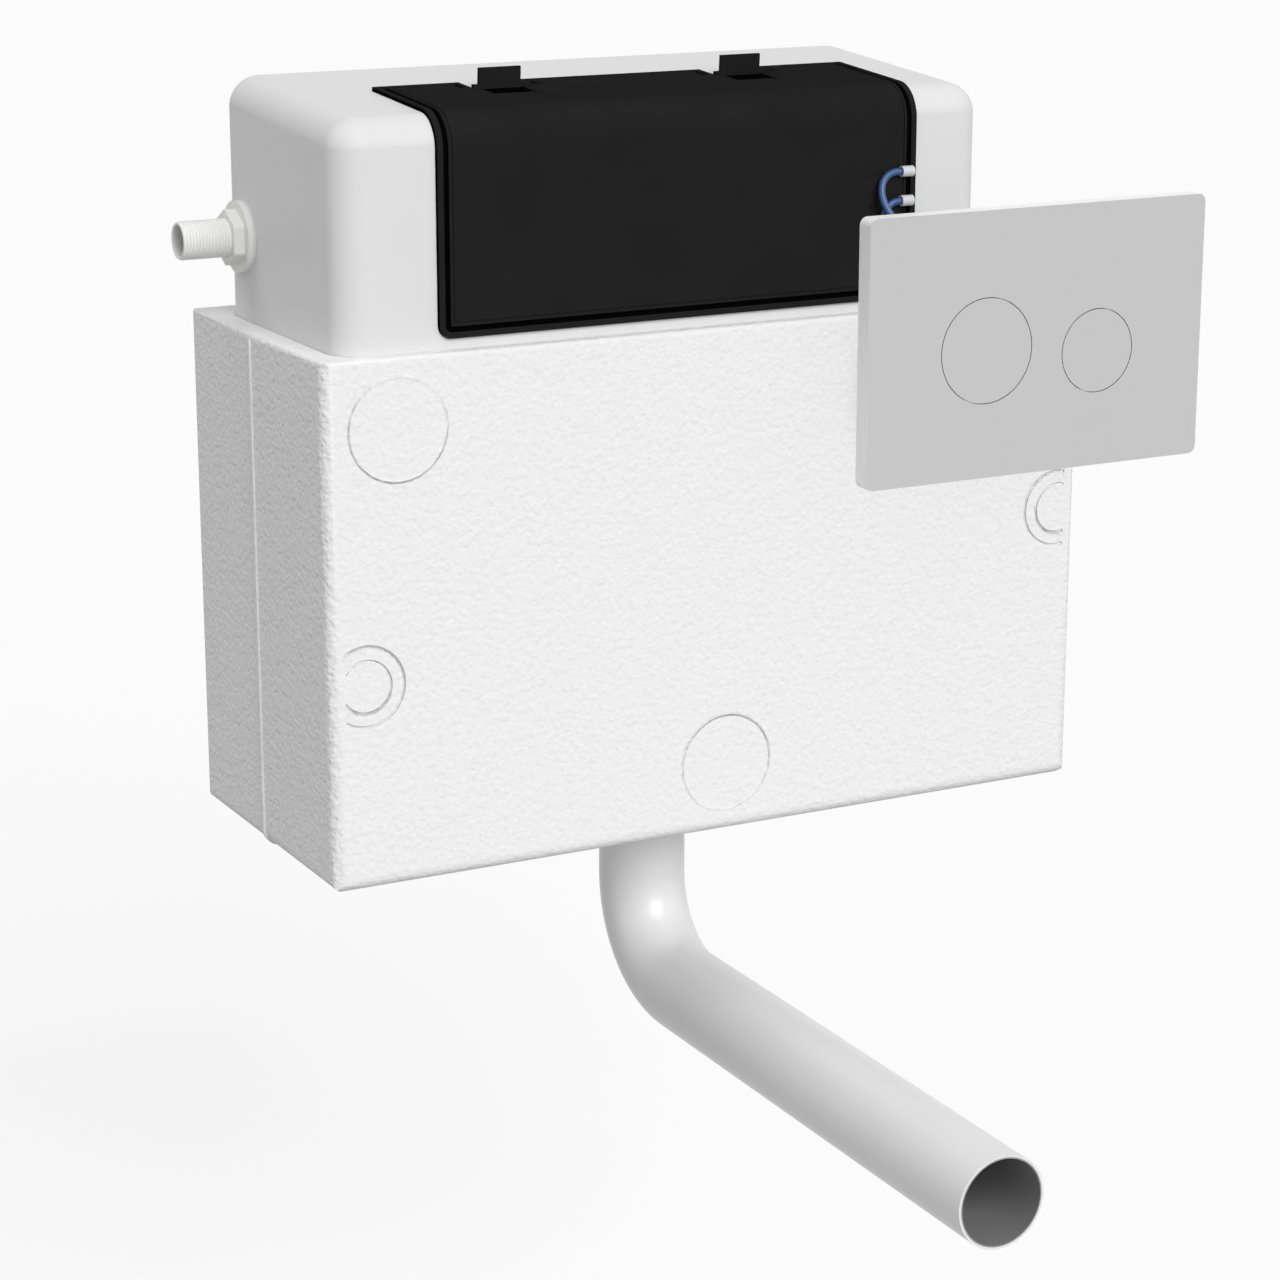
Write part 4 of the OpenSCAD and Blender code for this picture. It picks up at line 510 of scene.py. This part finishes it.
def makeTail(look):
    sides, start, threadEnd = look["sides"], look["start"], look["threadEnd"]
    edge, rimEdge, boreEdge = look["edge"], look["collarEdge"], look["boreEdge"]
    root = look["crest"] - look["depth"]

    def ring(x, radii):
        return [(x, look["axisY"] + r * math.cos(a), look["axisZ"] + r * math.sin(a))
                for r, a in zip(radii, roundAngles(sides))]

    def threadRadius(x, turn):
        phase = (x / look["pitch"] + turn) % 1
        tooth = min(1, max(0, look["toothRise"] * (1 - abs(phase * 2 - 1)) - look["toothFoot"]))
        fade = min(1, (threadEnd - x) / (look["runOutTurns"] * look["pitch"]),
                   (x - start + edge) / look["pitch"])
        return look["crest"] - look["depth"] * (1 - tooth) * max(0, fade)

    mouth = ring(start + boreEdge, [look["bore"]] * sides)
    rows = [mouth, ring(start, [look["bore"] + edge] * sides), ring(start, [root] * sides)]
    count = look["rowsPerTurn"] * round((threadEnd - start) / look["pitch"])
    for i in range(count + 1):
        x = start + edge + (threadEnd - start - edge) * i / count
        chamfer = min(1, (x - start) / look["leadIn"])
        rows.append(ring(x, [min(threadRadius(x, j / sides), look["crest"] - look["depth"] * (1 - chamfer))
                             for j in range(sides)]))
    for x, r in ((threadEnd + edge, look["plain"]), (look["flangeFrom"], look["plain"]),
                 (look["flangeFrom"], look["flange"] - edge), (look["flangeFrom"] + edge, look["flange"]),
                 (look["flangeTo"] - edge, look["flange"]), (look["flangeTo"], look["flange"] - edge),
                 (look["flangeTo"], look["inside"] + boreEdge), (look["flangeTo"] + boreEdge, look["inside"]),
                 (look["collarFrom"], look["inside"]), (look["collarFrom"], look["collar"] - rimEdge),
                 (look["collarFrom"] + rimEdge, look["collar"]), (look["collarTo"] - rimEdge, look["collar"]),
                 (look["collarTo"], look["collar"] - rimEdge), (look["collarTo"], look["bore"])):
        rows.append(ring(x, [r] * sides))
    return gridMesh("inletTail", rows + [mouth])


inletTail = addPiece("inletTail", makeTail(tail), "fitting_white_acetal", "cistern")
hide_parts("inlet_shank")
print("inlet tail threaded")

# Rubber bellows behind the two buttons; in metres
bellows = {
    "front": -0.2348, "back": -0.2112, "folds": 4, "foldDepth": 0.0034, "foldPower": 0.8, "lip": 0.001,
    "sides": 72, "ringsPerFold": 12, "capRings": 4, "joined": 1e-6,
    "keep": 0.79,  # of its length, when pressed
    "full": {"x": 0.1285, "z": -0.0842, "radius": 0.0245, "joint": "full_button_press"},
    "half": {"x": 0.2006, "z": -0.0900, "radius": 0.0187, "joint": "half_button_press"},
}


def makeBellows(name, node, look):
    length = bellows["back"] - bellows["front"]
    capRadius = look["radius"] - bellows["foldDepth"] - bellows["lip"]
    steps = bellows["ringsPerFold"] * bellows["folds"]
    profile = [(0.0, capRadius * k / bellows["capRings"]) for k in range(bellows["capRings"] + 1)]
    for i in range(1, steps):
        wave = 0.5 - 0.5 * math.cos(2 * math.pi * i / bellows["ringsPerFold"])
        fold = bellows["foldDepth"] * (1 - wave ** bellows["foldPower"])
        profile.append((length * i / steps, look["radius"] - fold))
    profile += [(length, capRadius), (length, 0.0)]
    rows = [[(look["x"] + r * math.cos(a), bellows["front"] + y, look["z"] + r * math.sin(a))
             for a in roundAngles(bellows["sides"])] for y, r in profile]
    mesh = gridMesh(name, rows)
    build = bmesh.new()
    build.from_mesh(mesh)
    bmesh.ops.remove_doubles(build, verts=build.verts, dist=bellows["joined"])  # closes the two middles
    build.to_mesh(mesh)
    build.free()
    piece = addPiece(name, mesh, "sealing_rubber", "cistern")
    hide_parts(node)
    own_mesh(piece)


makeBellows("fullBellows", "full_pump_bellows", bellows["full"])
makeBellows("halfBellows", "half_pump_bellows", bellows["half"])
print("bellows made")

# The CAD nodes: closed seams, smooth shading up to a crease, and broken edges where the real piece has them
finish = {
    "crease": 32,  # degrees: smooth below it
    "flat": 0.4, "sharp": 35,  # degrees: facets are joined below the one, and edges broken above the other
    "segments": 2,  # of a broken edge
    "weld": 0.000002,  # m
    "edges": {"access_cover": 0.35, "hose_elbows": 0.3, "wall_brackets": 0.2, "outlet_back_nut": 0.5,
              "plate_frame": 0.3, "lift_yoke": 0.3, "half_lift_yoke": 0.3, "full_actuator_housing": 0.3,
              "half_actuator_housing": 0.3, "float_cup": 0.4},  # radius in mm
    # the photo shows no shadow behind the plate, and none of its light on the jacket
    "shadowless": ["plate_fascia", "plate_frame", "full_button", "half_button"],
}


def makeSmoothing(look):
    group = bpy.data.node_groups.new("smoothToCrease", "GeometryNodeTree")
    for direction in ("INPUT", "OUTPUT"):
        group.interface.new_socket("Geometry", in_out=direction, socket_type="NodeSocketGeometry")
    source = addNode(group, "NodeGroupInput")
    joined = addNode(group, "GeometryNodeMergeByDistance", {"Distance": look["weld"]},
                     {"Geometry": source.outputs[0]})
    plain = addNode(group, "GeometryNodeRemoveAttribute", {"Name": "custom_normal"},
                    {"Geometry": joined.outputs[0]})
    angle = addNode(group, "GeometryNodeInputMeshEdgeAngle")
    gentle = addNode(group, "FunctionNodeCompare",
                     {"operation": "LESS_THAN", 1: math.radians(look["crease"])},
                     {0: angle.outputs["Unsigned Angle"]})
    faces = addNode(group, "GeometryNodeSetShadeSmooth", {"domain": "FACE", "Shade Smooth": True},
                    {"Geometry": plain.outputs[0]})
    edges = addNode(group, "GeometryNodeSetShadeSmooth", {"domain": "EDGE"},
                    {"Geometry": faces.outputs[0], "Shade Smooth": gentle.outputs[0]})
    addNode(group, "NodeGroupOutput", None, {0: edges.outputs[0]})
    return group


def finishNode(thing, material, smoothing, radiusMm):
    thing.data.materials.clear()
    thing.data.materials.append(material)
    closed = thing.modifiers.new("closed", "NODES")
    closed.node_group = smoothing
    if radiusMm:
        flat = thing.modifiers.new("flat", "DECIMATE")
        flat.decimate_type = "DISSOLVE"
        flat.angle_limit = math.radians(finish["flat"])
        edge = thing.modifiers.new("edge", "BEVEL")
        edge.width = radiusMm / 1000
        edge.segments = finish["segments"]
        edge.limit_method = "ANGLE"
        edge.angle_limit = math.radians(finish["sharp"])
    normals = thing.modifiers.new("normals", "WEIGHTED_NORMAL")
    normals.keep_sharp = True


smoothing = makeSmoothing(finish)
for name, thing in nodes.items():
    slot = thing.data.materials[0].name.split(".")[0]
    finishNode(thing, materials[slot], smoothing, finish["edges"].get(name, 0))
for name in finish["shadowless"]:
    nodes[name].visible_shadow = False
    nodes[name].visible_diffuse = False
print("materials and edges given to", len(nodes), "nodes")

# Stage: a pale floor 0.34 m below the flush pipe, soft studio light
stage = {
    "floorZ": -0.83, "floorSize": 60.0, "ground": "#B0B0B0", "shadowed": "#FFFFFF", "glow": 0.7,
    "keyFrom": (0.03, -0.78, 0.45), "key": 0.71, "keyAngle": 38,
    "sideFrom": (-0.42, 0.24, 0.62), "side": 0.20, "sideAngle": 40,
    "fill": 0.38,
}
white = (1, 1, 1, 1)


def addSeen(tree):
    # 1 to the camera, whether straight, in a reflection or through something clear, and 0 to other light
    path = addNode(tree, "ShaderNodeLightPath")
    seen = addNode(tree, "ShaderNodeMath", {"operation": "MAXIMUM"},
                   {0: path.outputs["Is Camera Ray"], 1: path.outputs["Is Glossy Ray"]})
    return addNode(tree, "ShaderNodeMath", {"operation": "MAXIMUM"},
                   {0: seen.outputs[0], 1: path.outputs["Is Transmission Ray"]}).outputs[0]


def makeFloor(look):
    half, z = look["floorSize"] / 2, look["floorZ"]
    mesh = bpy.data.meshes.new("floor")
    mesh.from_pydata([(-half, -half, z), (half, -half, z), (half, half, z), (-half, half, z)], [],
                     [(0, 1, 2, 3)])
    floor = bpy.data.objects.new("floor", mesh)
    scene.collection.objects.link(floor)
    material, tree = newMaterial("paleFloor")
    # the camera sees a white that takes a faint shadow; to the object's own light the floor is dull grey
    glow = addNode(tree, "ShaderNodeEmission", {"Color": white, "Strength": 1.0})
    dull = addNode(tree, "ShaderNodeBsdfDiffuse", {"Color": hexColour(look["ground"])})
    shadow = addNode(tree, "ShaderNodeBsdfDiffuse", {"Color": hexColour(look["shadowed"])})
    mixed = addNode(tree, "ShaderNodeMixShader", {0: look["glow"]},
                    {1: shadow.outputs[0], 2: glow.outputs[0]})
    chosen = addNode(tree, "ShaderNodeMixShader", None,
                     {0: addSeen(tree), 1: dull.outputs[0], 2: mixed.outputs[0]})
    addNode(tree, "ShaderNodeOutputMaterial", None, {"Surface": chosen.outputs[0]})
    mesh.materials.append(material)


def makeSun(name, fromDirection, strength, angle):
    data = bpy.data.lights.new(name, "SUN")
    data.energy = strength * math.pi
    data.angle = math.radians(angle)
    lamp = bpy.data.objects.new(name, data)
    lamp.rotation_euler = Vector(fromDirection).to_track_quat("Z", "Y").to_euler()
    scene.collection.objects.link(lamp)


def makeWorld(fill):
    world = bpy.data.worlds.new("studio")
    scene.world = world
    world.use_nodes = True
    tree = world.node_tree
    tree.nodes.clear()
    level = addNode(tree, "ShaderNodeMapRange", {"To Min": fill, "To Max": 1.0}, {"Value": addSeen(tree)})
    light = addNode(tree, "ShaderNodeBackground", {"Color": white}, {"Strength": level.outputs["Result"]})
    addNode(tree, "ShaderNodeOutputWorld", None, {"Surface": light.outputs[0]})


makeFloor(stage)
makeSun("keyLight", stage["keyFrom"], stage["key"], stage["keyAngle"])
makeSun("sideLight", stage["sideFrom"], stage["side"], stage["sideAngle"])
makeWorld(stage["fill"])
scene.view_settings.view_transform = "Standard"
print("stage set")
